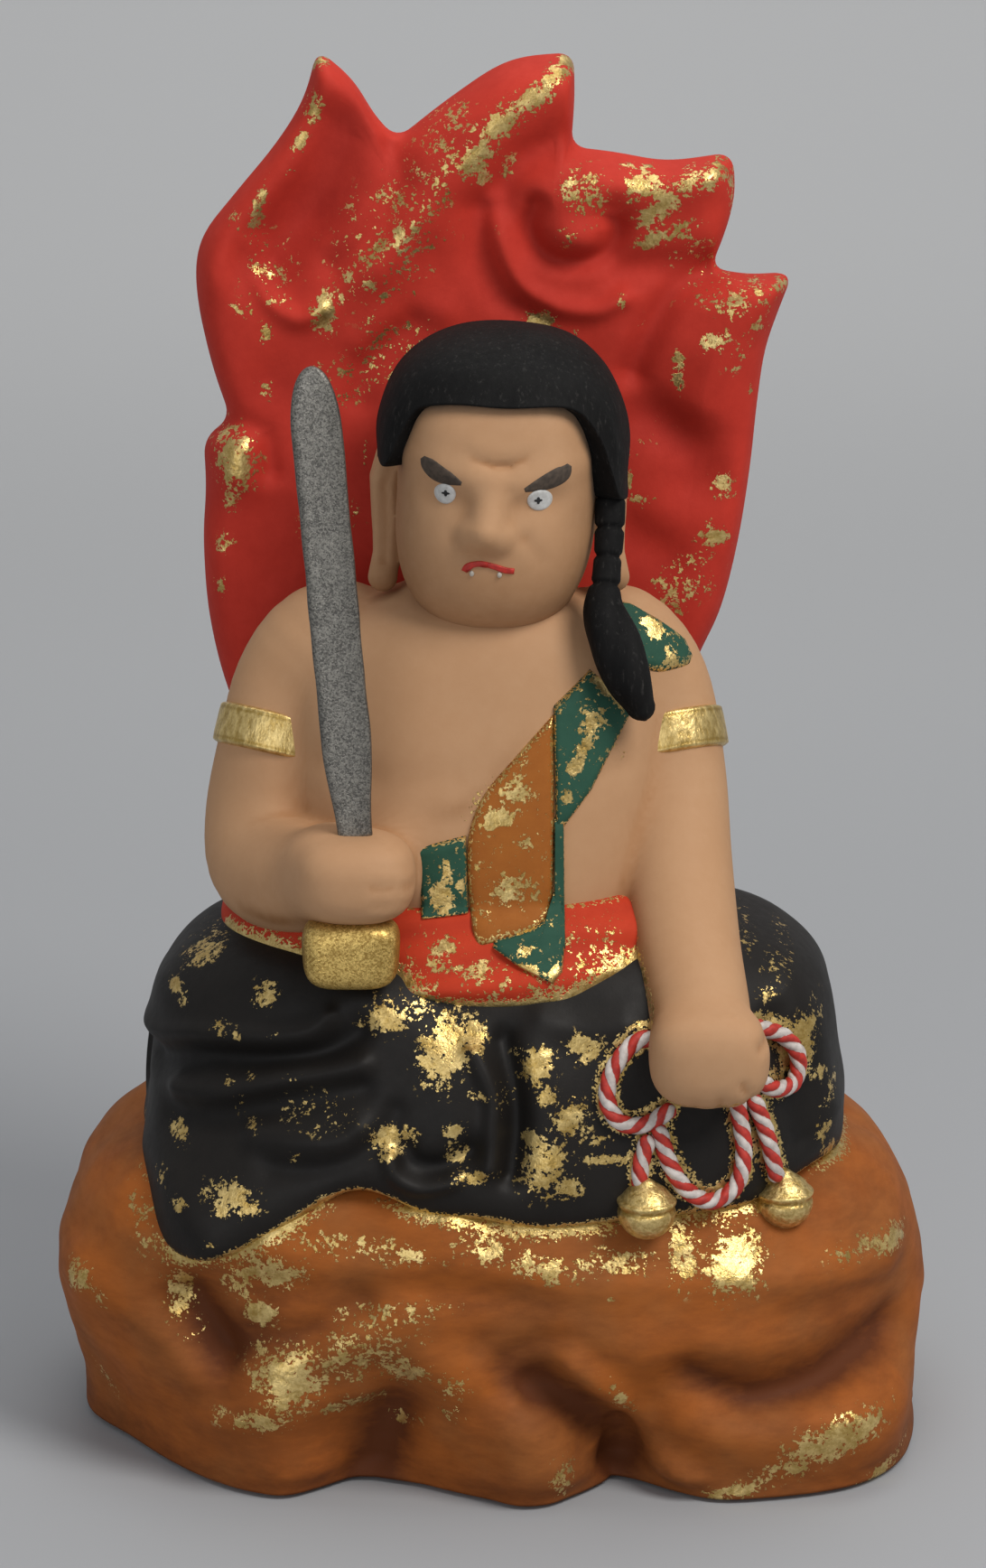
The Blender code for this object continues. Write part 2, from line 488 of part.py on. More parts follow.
def mesh_of_curve(curve, name, matrix):
    """A curve's evaluated shape as a welded mesh in place. The curve is removed."""
    thing = bpy.data.objects.new(name, curve)
    CUTTERS.objects.link(thing)
    graph = bpy.context.evaluated_depsgraph_get()
    mesh = bpy.data.meshes.new_from_object(thing.evaluated_get(graph))
    bpy.data.objects.remove(thing)
    mesh.transform(matrix)
    bm = bmesh.new()
    bm.from_mesh(mesh)
    bmesh.ops.remove_doubles(bm, verts=bm.verts, dist=0.01 * MM)
    bpy.data.meshes.remove(mesh)
    return mesh_from(bm, name)


def limb(name, path, steps=2, sides=3):
    """A round limb or rope whose radius follows the path's points: a smooth bevelled curve with caps."""
    curve = bpy.data.curves.new(name, "CURVE")
    curve.dimensions = "3D"
    curve.bevel_depth = 1.0
    curve.bevel_resolution = sides
    curve.use_fill_caps = True
    curve.resolution_u = steps
    spline = curve.splines.new("BEZIER")
    spline.bezier_points.add(len(path) - 1)
    for point, (x, y, z, radius) in zip(spline.bezier_points, path):
        point.co = (x, y, z)
        point.radius = radius
        point.handle_left_type = "AUTO"
        point.handle_right_type = "AUTO"
    return mesh_of_curve(curve, name, Matrix())


def prism(name, outline, front, back, smooth=False):
    """An outline seen from the front, extruded from the front to the back."""
    curve = bpy.data.curves.new(name, "CURVE")
    curve.dimensions = "2D"
    curve.fill_mode = "BOTH"
    curve.extrude = (back - front) / 2
    curve.resolution_u = 3
    spline = curve.splines.new("BEZIER")
    spline.bezier_points.add(len(outline) - 1)
    spline.use_cyclic_u = True
    for point, (x, z) in zip(spline.bezier_points, outline):
        point.co = (x, z, 0)
        point.handle_left_type = "AUTO" if smooth else "VECTOR"
        point.handle_right_type = "AUTO" if smooth else "VECTOR"
    upright = Matrix.Translation((0, (front + back) / 2, 0)) @ Matrix.Rotation(math.radians(90), 4, "X")
    return mesh_of_curve(curve, name, upright)


def block(name, low, high):
    """A box between two corners."""
    bm = bmesh.new()
    bmesh.ops.create_cube(bm, size=1)
    middle = (Vector(low) + Vector(high)) / 2
    size = Vector(high) - Vector(low)
    bmesh.ops.transform(bm, verts=bm.verts, matrix=Matrix.Translation(middle) @ Matrix.Diagonal((*size, 1)))
    return mesh_from(bm, name)


def superellipse(angle, reach_x, reach_y, power):
    """Distance from the middle to a rounded rectangle's outline."""
    across = abs(math.cos(angle) / reach_x) ** power
    along = abs(math.sin(angle) / reach_y) ** power
    return (across + along) ** (-1 / power)


def bell_curve(x):
    return math.exp(-x * x)


def smoothstep(low, high, x):
    t = min(max((x - low) / (high - low), 0), 1)
    return t * t * (3 - 2 * t)


def turn_between(angle, other):
    """Signed difference of two angles in degrees."""
    return (angle - other + 180) % 360 - 180


def hermite(here, leave, there, arrive, t):
    """A place on the smooth curve from here to there with the given slopes."""
    return (
        here * (2 * t**3 - 3 * t**2 + 1) + leave * (t**3 - 2 * t**2 + t)
        + there * (3 * t**2 - 2 * t**3) + arrive * (t**3 - t**2)
    )


def smooth_run(points, steps):
    """More places between the given ones, on a curve through them."""
    points = [Vector(point) for point in points]
    last = len(points) - 1
    run = []
    for i in range(last):
        here, there = points[i], points[i + 1]
        leave = (there - points[max(i - 1, 0)]) / 2
        arrive = (points[min(i + 2, last)] - here) / 2
        run += [hermite(here, leave, there, arrive, k / steps) for k in range(steps)]
    return run + [points[last]]


def ring_turn(i, sides):
    """Angle of a ring's point; the points stand closer in front, where the relief is."""
    turn = 2 * math.pi * i / sides
    return turn - FRONT_CROWDING * math.cos(turn)


def line_gap(place, start, end):
    """Distance of a place seen from the front to a straight line between two points in mm."""
    start, run = Vector(start) * MM, (Vector(end) - Vector(start)) * MM
    t = min(max((place - start).dot(run) / run.length_squared, 0), 1)
    return (place - start - run * t).length


def stroke_relief(x, z, strokes):
    """Soft ridges and hollows along lines: each stands out by its rise times a bell of the distance."""
    place = Vector((x, z))
    height = 0
    for line, half_width, rise in strokes:
        gap = min(line_gap(place, start, end) for start, end in zip(line, line[1:]))
        reach = max(half_width * MM, STROKE_LEAST)
        height += rise * MM * (half_width * MM / reach) * bell_curve(gap / reach)
    return height


def pushed(rings, relief):
    """Rings with each point moved along the skin's normal by a relief of its place and its ring."""
    moved = []
    for level, ring in enumerate(rings):
        below, above = rings[max(level - 1, 0)], rings[min(level + 1, len(rings) - 1)]
        row = []
        for i, point in enumerate(ring):
            along = Vector(ring[(i + 1) % len(ring)]) - Vector(ring[i - 1])
            normal = along.cross(Vector(above[i]) - Vector(below[i])).normalized()
            row.append(Vector(point) + normal * relief(Vector(point), level))
        moved.append(row)
    return moved


# Rock pedestal

def rock_relief(angle, height):
    """How far the face falls back in its valleys, by angle in degrees and share of the height."""
    fall = 0
    for start, drift, depth, half_width, low, high in ROCK_VALLEYS:
        across = turn_between(angle, start + drift * height) / half_width
        middle, reach = (low + high) / 2, (high - low) / 2
        fall += depth * bell_curve(across) * smoothstep(1.0, 0.0, abs(height - middle) / reach)
    return fall


def foot_reach(angle):
    """Reach of the foot's plan on the ground, straight between the given angles."""
    angle = turn_between(angle, 0)
    for (start, low), (end, high) in zip(ROCK_FOOT, ROCK_FOOT[1:]):
        if start <= angle <= end:
            return (low + (high - low) * (angle - start) / (end - start)) * MM
    return ROCK_FOOT[0][1] * MM


def rock_reach(angle, share, height):
    """Reach from the middle: the foot's plan at the ground passes into the valleyed plan above."""
    plan = superellipse(math.radians(angle), ROCK_WIDTH / 2, ROCK_DEPTH / 2, ROCK_SQUARENESS)
    plan = share * (plan - rock_relief(angle, height))
    rise = smoothstep(0, FOOT_RISE, height)
    return foot_reach(angle) * (1 - rise) + plan * rise


def rock_rings(inset, flank, profile):
    """Rings of the pedestal, drawn in by the inset from the least reach within the flank to each side."""
    rings = []
    for share, height in profile:
        ring = []
        for i in range(ROCK_SIDES):
            angle = math.degrees(ring_turn(i, ROCK_SIDES))
            reach = min(rock_reach(angle + turn, share, height) for turn in (-flank, 0, flank)) - inset
            turn = math.radians(angle)
            ring.append([reach * math.cos(turn), reach * math.sin(turn), height * ROCK_HEIGHT])
        rings.append(ring)
    return rings


def fitted(rings, like):
    """Rings moved and stretched as the outer rings must be to fill the pedestal's stated plan."""
    spans = []
    for axis, size in ((0, ROCK_WIDTH), (1, ROCK_DEPTH)):
        places = [point[axis] for ring in like for point in ring]
        spans.append(((max(places) + min(places)) / 2, size / (max(places) - min(places))))
    (x, stretch_x), (y, stretch_y) = spans
    return [[((p[0] - x) * stretch_x, (p[1] - y) * stretch_y, p[2]) for p in ring] for ring in rings]


def rock_face(place, level):
    """Relief of the rock's face, which fades out round the sides and at the ground."""
    fade = smoothstep(RELIEF_END, RELIEF_FRONT, place.y) * smoothstep(0, RELIEF_FOOT, place.z)
    return stroke_relief(place.x, place.z, ROCK_STROKES) * fade


def make_rock():
    face_profile = smooth_run(ROCK_PROFILE[:ROCK_FACE_LINES], RELIEF_STEPS)
    outer = rock_rings(0, 0, face_profile + list(ROCK_PROFILE[ROCK_FACE_LINES:]))
    carved = pushed(fitted(outer, outer), rock_face)
    rock = add_part("rock_base", mesh_from(skin(fitted(carved, carved)), "rock_base"), "clay_orange")
    hollow_top = 1 - ROCK_TOP_WALL / ROCK_HEIGHT
    hollow_profile = [(share, height * hollow_top) for share, height in ROCK_PROFILE[1:-2:2]]
    hollow = fitted(fitted(rock_rings(ROCK_WALL, FOOT_FLANK, hollow_profile), outer), carved)
    below = [(x, y, -ROCK_WALL) for x, y, z in hollow[0]]
    cutter = add_cutter("casting_hollow", mesh_from(skin([below] + hollow), "casting_hollow"))
    boolean(rock, "DIFFERENCE", cutter)
    return rock


# Flame halo

def flame_outline():
    """The flame's outline as a spline through its points, with the tips and valleys kept sharp."""
    points = [Vector((x, z)) for x, z, corner in FLAME]
    count = len(points)
    outline = []
    for i in range(count):
        here, there = points[i], points[(i + 1) % count]
        span = there - here
        leave = span if FLAME[i][2] else (there - points[i - 1]) / 2
        arrive = span if FLAME[(i + 1) % count][2] else (points[(i + 2) % count] - here) / 2
        outline += [hermite(here, leave, there, arrive, k / FLAME_STEPS) for k in range(FLAME_STEPS)]
    return outline


def make_halo():
    centre = Vector(HALO_CENTRE)
    half = HALO_THICKNESS / 2
    rings = []
    for share, side in HALO_RINGS:
        ring = []
        for point in flame_outline():
            place = centre + (point - centre) * share
            proud = stroke_relief(place.x, place.y, FLAME_STROKES) * smoothstep(-0.2, -0.97, side)
            ring.append((place.x, HALO_FRONT + half + side * half - proud, place.y + HALO_RISE))
        rings.append(ring)
    halo = add_part("flame_halo", mesh_from(skin(rings), "flame_halo"), "clay_red")
    middle = HALO_FRONT + half
    low = (-STEM_WIDTH / 2, middle - STEM_THICKNESS / 2, ROCK_HEIGHT - TENON_DEPTH)
    high = (STEM_WIDTH / 2, middle + STEM_THICKNESS / 2, HALO_RISE)
    RAW["halo_stem"] = block("halo_stem", low, high)
    seat(halo, "rock_base")
    boolean(halo, "UNION", add_cutter("halo_stem", RAW["halo_stem"].copy()))
    return halo


# Figure

def section_rings(sections, middle_x, middle_y, base, sides, power):
    """Rounded-rectangle rings from heights, half-widths and half-depths."""
    rings = []
    for height, reach_x, reach_y in sections:
        ring = []
        for i in range(sides):
            angle = 2 * math.pi * i / sides
            reach = superellipse(angle, reach_x, reach_y, power)
            x = middle_x + reach * math.cos(angle)
            y = middle_y + reach * math.sin(angle)
            ring.append((x, y, base + height))
        rings.append(ring)
    return rings


def hem_drop(angle):
    """How far the hem hangs below the rock's top, eased between the given angles."""
    stops = list(HEM_DROP) + [(HEM_DROP[0][0] + 360, HEM_DROP[0][1])]
    angle = (angle - stops[0][0]) % 360 + stops[0][0]
    for (start, low), (end, high) in zip(stops, stops[1:]):
        if start <= angle <= end:
            return low + (high - low) * smoothstep(start, end, angle)
    return stops[0][1]


def skirt_profile():
    """The skirt's profile, with more lines where the cloth has folds."""
    low, high = SKIRT_FOLD_LINES
    folded = smooth_run(SKIRT_PROFILE[low:high], RELIEF_STEPS)
    return list(SKIRT_PROFILE[:low]) + folded + list(SKIRT_PROFILE[high:])


def skirt_fold(place, level):
    """Relief of the cloth's folds, which fades out round the sides, at the hem and under the waist."""
    height = skirt_profile()[level][0]
    ends = smoothstep(0, 0.05, height) * smoothstep(0.99, 0.9, height)
    fade = smoothstep(FOLD_END, FOLD_FRONT, place.y) * ends
    return stroke_relief(place.x, place.z, SKIRT_STROKES) * fade


def make_skirt():
    rings = []
    for height, side_share, front_share in skirt_profile():
        ring = []
        for i in range(SKIRT_SIDES):
            angle = ring_turn(i, SKIRT_SIDES)
            depth = SKIRT_FRONT if math.sin(angle) < 0 else SKIRT_BACK
            share = side_share + (front_share - side_share) * math.sin(angle) ** 2
            reach = share * superellipse(angle, SKIRT_WIDTH / 2, depth, 2.7)
            corner, half_width, out = HEM_CORNER
            drape = smoothstep(0.55, 0.05, height) * smoothstep(-0.05, 0.03, height)
            reach += out * bell_curve(turn_between(math.degrees(angle), corner) / half_width) * drape
            base = ROCK_HEIGHT - hem_drop(math.degrees(angle))
            top = ROCK_HEIGHT + SKIRT_HEIGHT
            ring.append((reach * math.cos(angle), reach * math.sin(angle), base + (top - base) * height))
        rings.append(ring)
    return add_part("skirt", mesh_from(skin(pushed(rings, skirt_fold)), "skirt"), "clay_black")


def make_torso():
    rings = section_rings(TORSO_SECTIONS, TORSO_X, TORSO_Y, LAP, TORSO_SIDES, 2.3)
    return add_part("torso", mesh_from(skin(rings), "torso"), "clay_flesh")


def make_waist_sash():
    """The waist's rounded rectangles, drawn out in front where the cloth is let down over the lap."""
    centre, half_width, reach, start, whole = WAIST_APRON
    middle = Vector((TORSO_X, TORSO_Y, 0))
    rings = []
    for ring in section_rings(WAIST_SECTIONS, TORSO_X, TORSO_Y, LAP, TORSO_SIDES + 12, 2.2):
        row = []
        for point in ring:
            out = Vector((point[0], point[1], 0)) - middle
            turn = turn_between(math.degrees(math.atan2(out.y, out.x)), centre) / half_width
            drawn = reach * bell_curve(turn * turn) * smoothstep(start, whole, point[2] - LAP)
            row.append(Vector(point) + out.normalized() * drawn)
        rings.append(row)
    return add_part("waist_sash", mesh_from(skin(rings), "waist_sash"), "clay_red")


def ball(name, sides, rings):
    bm = bmesh.new()
    bmesh.ops.create_uvsphere(bm, u_segments=sides, v_segments=rings, radius=1)
    return bm


def square_ball(sides, rings, power):
    """A ball of unit reach whose sides are flattened towards a box by the power."""
    bm = ball("squared", sides, rings)
    for vertex in bm.verts:
        vertex.co *= sum(abs(c) ** power for c in vertex.co) ** (-1 / power)
    return bm


def face_push(x, z):
    """How far the face stands out at a place in front of the head."""
    push = 0
    for bump_x, bump_z, reach_x, reach_z, rise in FACE_BUMPS:
        for side in {bump_x, -bump_x}:
            push += rise * bell_curve(math.hypot((x - side) / reach_x, (z - bump_z) / reach_z))
    return push


def make_head():
    bm = square_ball(30, 22, HEAD_SQUARENESS)
    for vertex in bm.verts:
        x, y, z = vertex.co
        jaw = 1 + 0.07 * bell_curve((z + 0.42) / 0.4)
        place = Vector((x * HEAD_HALF_WIDTH * jaw, y * HEAD_HALF_DEPTH, z * HEAD_HALF_HEIGHT))
        place.y -= face_push(place.x, place.z) * smoothstep(0.1, -0.5, y)
        vertex.co = place + HEAD
    head = add_part("head", mesh_from(bm, "head"), "clay_flesh")
    neck = bmesh.new()
    torso_top = LAP + TORSO_SECTIONS[-1][0]
    top, bottom = HEAD.z - HEAD_HALF_HEIGHT / 2, torso_top - NECK_SPIGOT
    place = Matrix.Translation((HEAD.x, HEAD.y + 2 * MM, (top + bottom) / 2))
    bmesh.ops.create_cone(
        neck, cap_ends=True, segments=20, radius1=NECK_RADIUS, radius2=NECK_RADIUS,
        depth=top - bottom, matrix=place
    )
    RAW["neck_spigot"] = mesh_from(neck, "neck_spigot")
    boolean(head, "UNION", add_cutter("neck_spigot", RAW["neck_spigot"].copy()))
    return head


def make_ear(name, side):
    bm = ball(name, 14, 10)
    half = Vector((EAR_THICKNESS, EAR_WIDTH, EAR_LENGTH)) / 2
    place = HEAD + Vector((side * (HEAD_HALF_WIDTH + EAR_OUT), 2 * MM, -EAR_DROP))
    for vertex in bm.verts:
        x, y, z = vertex.co
        lobe = 1 - 0.35 * smoothstep(0.1, -0.6, z)
        vertex.co = place + Vector((x * half.x, y * half.y * lobe, z * half.z))
    return add_part(name, mesh_from(bm, name), "clay_flesh")


def make_hair():
    bm = square_ball(30, 22, HAIR_SQUARENESS)
    half = Vector((HEAD_HALF_WIDTH + HAIR_SIDE, HEAD_HALF_DEPTH + HAIR_BACK, HEAD_HALF_HEIGHT + HAIR_TOP))
    for vertex in bm.verts:
        vertex.co = HEAD + vertex.co * half
    hair = add_part("hair_cap", mesh_from(bm, "hair_cap"), "hair_black")
    seat(hair, "head")
    half, fringe = FACE_OPENING / 2, HEAD.z + FRINGE_RISE
    arch = (
        (HEAD.x - half, HEAD.z - FAR), (HEAD.x - half, fringe - half * 0.5),
        (HEAD.x - half * 0.8, fringe - half * 0.16),
        (HEAD.x - half * 0.4, fringe - half * 0.02), (HEAD.x, fringe),
        (HEAD.x + half * 0.4, fringe - half * 0.02),
        (HEAD.x + half * 0.8, fringe - half * 0.16), (HEAD.x + half, fringe - half * 0.5),
        (HEAD.x + half, HEAD.z - FAR),
    )
    boolean(hair, "DIFFERENCE", add_cutter("face_opening", prism("face_opening", arch, -FAR, HEAD.y)))
    ear_room = block("ear_line", (-FAR, -FAR, -FAR), (FAR, EAR_LINE_DEPTH, TEMPLE_RISE))
    nape = block("nape_line", (-FAR, -FAR, -FAR), (FAR, FAR, -NAPE_DROP))
    slope = Matrix.Translation(HEAD) @ Matrix.Rotation(math.radians(-HAIRLINE_SLOPE), 4, "X")
    for mesh in (ear_room, nape):
        mesh.transform(slope)
        boolean(hair, "DIFFERENCE", add_cutter(mesh.name, mesh))
    return hair


def make_braid():
    path = [(HEAD.x + x, HEAD.y + y, HEAD.z + z, radius) for x, y, z, radius in BRAID]
    return add_part("side_braid", limb("side_braid", path, sides=2), "hair_black")


def above_lap(path):
    return [(x, y, LAP + z, radius) for x, y, z, radius in path]


def make_fist(name, place, size, grooves_on):
    """A closed hand: a squared ball with grooves between the fingers on one side."""
    bm = ball(name, 20, 12)
    half = Vector(size) / 2
    for vertex in bm.verts:
        squared = Vector([math.copysign(abs(c) ** 0.72, c) for c in vertex.co])
        facing = smoothstep(0.2, 0.8, squared.dot(grooves_on))
        along = squared.z if abs(grooves_on.x) > abs(grooves_on.z) else squared.x
        groove = facing * KNUCKLE_GROOVE * (0.5 - 0.5 * math.cos(4 * math.pi * along))
        spot = Vector((squared.x * half.x, squared.y * half.y, squared.z * half.z))
        vertex.co = Vector(place) + Vector((0, 0, LAP)) + spot * (1 - groove / half.length)
    return add_part(name, mesh_from(bm, name), "clay_flesh")


def make_armlet(name, arm, *neighbours):
    """A band round the upper arm: a thicker copy of the arm between two levels."""
    armlet = add_part(name, grown_mesh(arm, ARMLET_THICKNESS), "gold_paint")
    middle = LAP + ARMLET_RISE
    low, high = middle - ARMLET_HEIGHT / 2, middle + ARMLET_HEIGHT / 2
    band = block(name, (-FAR, -FAR, low), (FAR, FAR, high))
    boolean(armlet, "INTERSECT", add_cutter(name + "_band", band))
    settle(armlet, arm, *neighbours)
    return armlet


# Sword

def sword_frame():
    """Where the blade leaves the fist, with the blade's own axis as Z."""
    heel = Vector(RIGHT_FIST) + Vector((0, 0, LAP + RIGHT_FIST_SIZE[2] / 2 - 0.5 * MM))
    tilt = Matrix.Rotation(math.radians(-SWORD_TILT), 4, "X")
    lean = Matrix.Rotation(math.radians(-SWORD_LEAN), 4, "Y") @ tilt
    return Matrix.Translation(heel) @ lean


def make_sword():
    """A flat blade with a rounded point, drawn in to its heel, and a tang below."""
    curve = bpy.data.curves.new("sword_blade", "CURVE")
    curve.dimensions = "2D"
    curve.fill_mode = "BOTH"
    curve.extrude = BLADE_THICKNESS / 2 - BLADE_EDGE
    curve.bevel_depth = BLADE_EDGE
    curve.bevel_resolution = 1
    curve.resolution_u = 4
    half = BLADE_WIDTH / 2 - BLADE_EDGE
    heel = BLADE_HEEL_WIDTH / 2 - BLADE_EDGE
    tang = TANG_WIDTH / 2 - BLADE_EDGE
    right = (
        (tang, BLADE_EDGE - TANG_LENGTH), (tang, BLADE_EDGE), (heel, BLADE_EDGE),
        (half, 0.2 * BLADE_LENGTH),
        (half, 0.9 * BLADE_LENGTH), (0.45 * half, 0.985 * BLADE_LENGTH),
    )
    outline = list(right) + [(-x, z) for x, z in reversed(right)]
    spline = curve.splines.new("BEZIER")
    spline.bezier_points.add(len(outline) - 1)
    spline.use_cyclic_u = True
    for point, (x, z) in zip(spline.bezier_points, outline):
        point.co = (x, z, 0)
        rounded = z > 0.8 * BLADE_LENGTH
        point.handle_left_type = "AUTO" if rounded else "VECTOR"
        point.handle_right_type = "AUTO" if rounded else "VECTOR"
    sword = bpy.data.objects.new("sword_blade", curve)
    PARTS.objects.link(sword)
    curve.materials.append(MATERIALS["silver_paint"])
    sword.matrix_world = sword_frame() @ Matrix.Rotation(math.radians(90), 4, "X")
    return sword


def cut_sword_slot(fist):
    width, thick = TANG_WIDTH / 2 + CLEARANCE, BLADE_THICKNESS / 2 + CLEARANCE
    slot_low = (-width, -thick, -TANG_LENGTH - CLEARANCE)
    slot = block("sword_slot", slot_low, (width, thick, RIGHT_FIST_SIZE[2]))
    heel_width = BLADE_HEEL_WIDTH / 2 + 2 * CLEARANCE
    heel = block("sword_heel", (-heel_width, -thick, -CLEARANCE), (heel_width, thick, RIGHT_FIST_SIZE[2]))
    for mesh in (slot, heel):
        mesh.transform(sword_frame())
        boolean(fist, "DIFFERENCE", add_cutter(mesh.name, mesh))


def make_pommel():
    bm = bmesh.new()
    bmesh.ops.create_cube(bm, size=1)
    x, y, z = RIGHT_FIST
    under_fist = LAP + z - RIGHT_FIST_SIZE[2] / 2 - POMMEL_SIZE[2] / 2
    place = Matrix.Translation((x - 0.8 * MM, y - 2 * MM, under_fist + 2.5 * MM))
    bmesh.ops.transform(bm, verts=bm.verts, matrix=place @ Matrix.Diagonal((*POMMEL_SIZE, 1)))
    bmesh.ops.bevel(bm, geom=bm.edges[:], offset=POMMEL_ROUND, segments=2, profile=0.5, affect="EDGES")
    return add_part("sword_pommel", mesh_from(bm, "sword_pommel"), "gold_paint")


# Sash pieces on the chest

def make_applique(name, outline, bases, finish, smooth=False, back=0):
    """A strip that follows the pieces under it: their thickened skins, trimmed to an outline from the front."""
    strip = add_part(name, grown_mesh(bases[0], SASH_THICKNESS), finish)
    for base in bases[1:]:
        boolean(strip, "UNION", add_cutter(name + "_over_" + base, grown_mesh(base, SASH_THICKNESS)))
    placed = [(x, LAP + z) for x, z in outline]
    boolean(strip, "INTERSECT", add_cutter(name + "_outline", prism(name, placed, -FAR, back, smooth)))
    seat(strip, *bases)
    return strip


# Lasso and bells

def front_of(name, x, z):
    """Depth of a piece's front skin straight behind a place seen from the front."""
    bm = bmesh.new()
    bm.from_mesh(RAW[name])
    tree = BVHTree.FromBMesh(bm)
    bm.free()
    hit = tree.ray_cast(Vector((x, -FAR, z)), Vector((0, 1, 0)))[0]
    return hit.y if hit else 0


def make_rope(name, path):
    """A stretch of rope lying half sunk on the skirt."""
    route = []
    for x, z in path:
        depth = min(front_of(base, x, LAP + z) for base in ("skirt", "rock_base"))
        route.append((x, depth - ROPE_RADIUS + ROPE_SINK, LAP + z, ROPE_RADIUS))
    return add_part(name, limb(name, route, steps=3, sides=2), "rope_paint")


def make_bell(name, place):
    """A round bell with a raised rib, turned about its upright axis."""
    x, z = place
    depth = min(front_of(base, x, LAP + z) for base in ("skirt", "rock_base"))
    profile = []
    steps = 10
    for i in range(steps + 1):
        angle = math.pi * i / steps
        rib = BELL_RIB * bell_curve((math.degrees(angle) - 68) / 9)
        profile.append(((BELL_RADIUS + rib) * math.sin(angle), (BELL_RADIUS + rib) * math.cos(angle)))
    bm = bmesh.new()
    verts = [bm.verts.new((r, 0, h)) for r, h in profile]
    edges = [bm.edges.new(pair) for pair in zip(verts, verts[1:])]
    bmesh.ops.spin(
        bm, geom=verts + edges, cent=(0, 0, 0), axis=(0, 0, 1), angle=2 * math.pi, steps=14, use_merge=True
    )
    bmesh.ops.remove_doubles(bm, verts=bm.verts, dist=0.01 * MM)
    spot = Vector((x, depth - 0.55 * BELL_RADIUS, LAP + z))
    bmesh.ops.translate(bm, verts=bm.verts, vec=spot)
    return add_part(name, mesh_from(bm, name), "gold_paint")


def finish_part(piece):
    """Applies the cuts, drops the crumbs that they leave and shades the result."""
    graph = bpy.context.evaluated_depsgraph_get()
    mesh = bpy.data.meshes.new_from_object(piece.evaluated_get(graph))
    piece.modifiers.clear()
    bm = bmesh.new()
    bm.from_mesh(mesh)
    bmesh.ops.remove_doubles(bm, verts=bm.verts, dist=0.005 * MM)
    bodies = loose_bodies(bm)
    crumbs = [face for body in sorted(bodies, key=len)[:-1] for face in body]
    bmesh.ops.delete(bm, geom=crumbs, context="FACES")
    bm.to_mesh(mesh)
    bm.free()
    mesh.set_sharp_from_angle(angle=math.radians(40))
    piece.data = mesh


def settle(piece, *neighbours):
    """Seats a thin piece and applies its cuts at once, so that later pieces seat on what is left of it."""
    seat(piece, *neighbours)
    finish_part(piece)
    RAW[piece.name] = piece.data.copy()


def loose_bodies(bm):
    """The faces of a mesh in connected groups."""
    left = set(bm.faces)
    bodies = []
    while left:
        body, edge_of_body = set(), [left.pop()]
        while edge_of_body:
            face = edge_of_body.pop()
            body.add(face)
            near = {other for edge in face.edges for other in edge.link_faces if other in left}
            left -= near
            edge_of_body.extend(near)
        bodies.append(body)
    return bodies


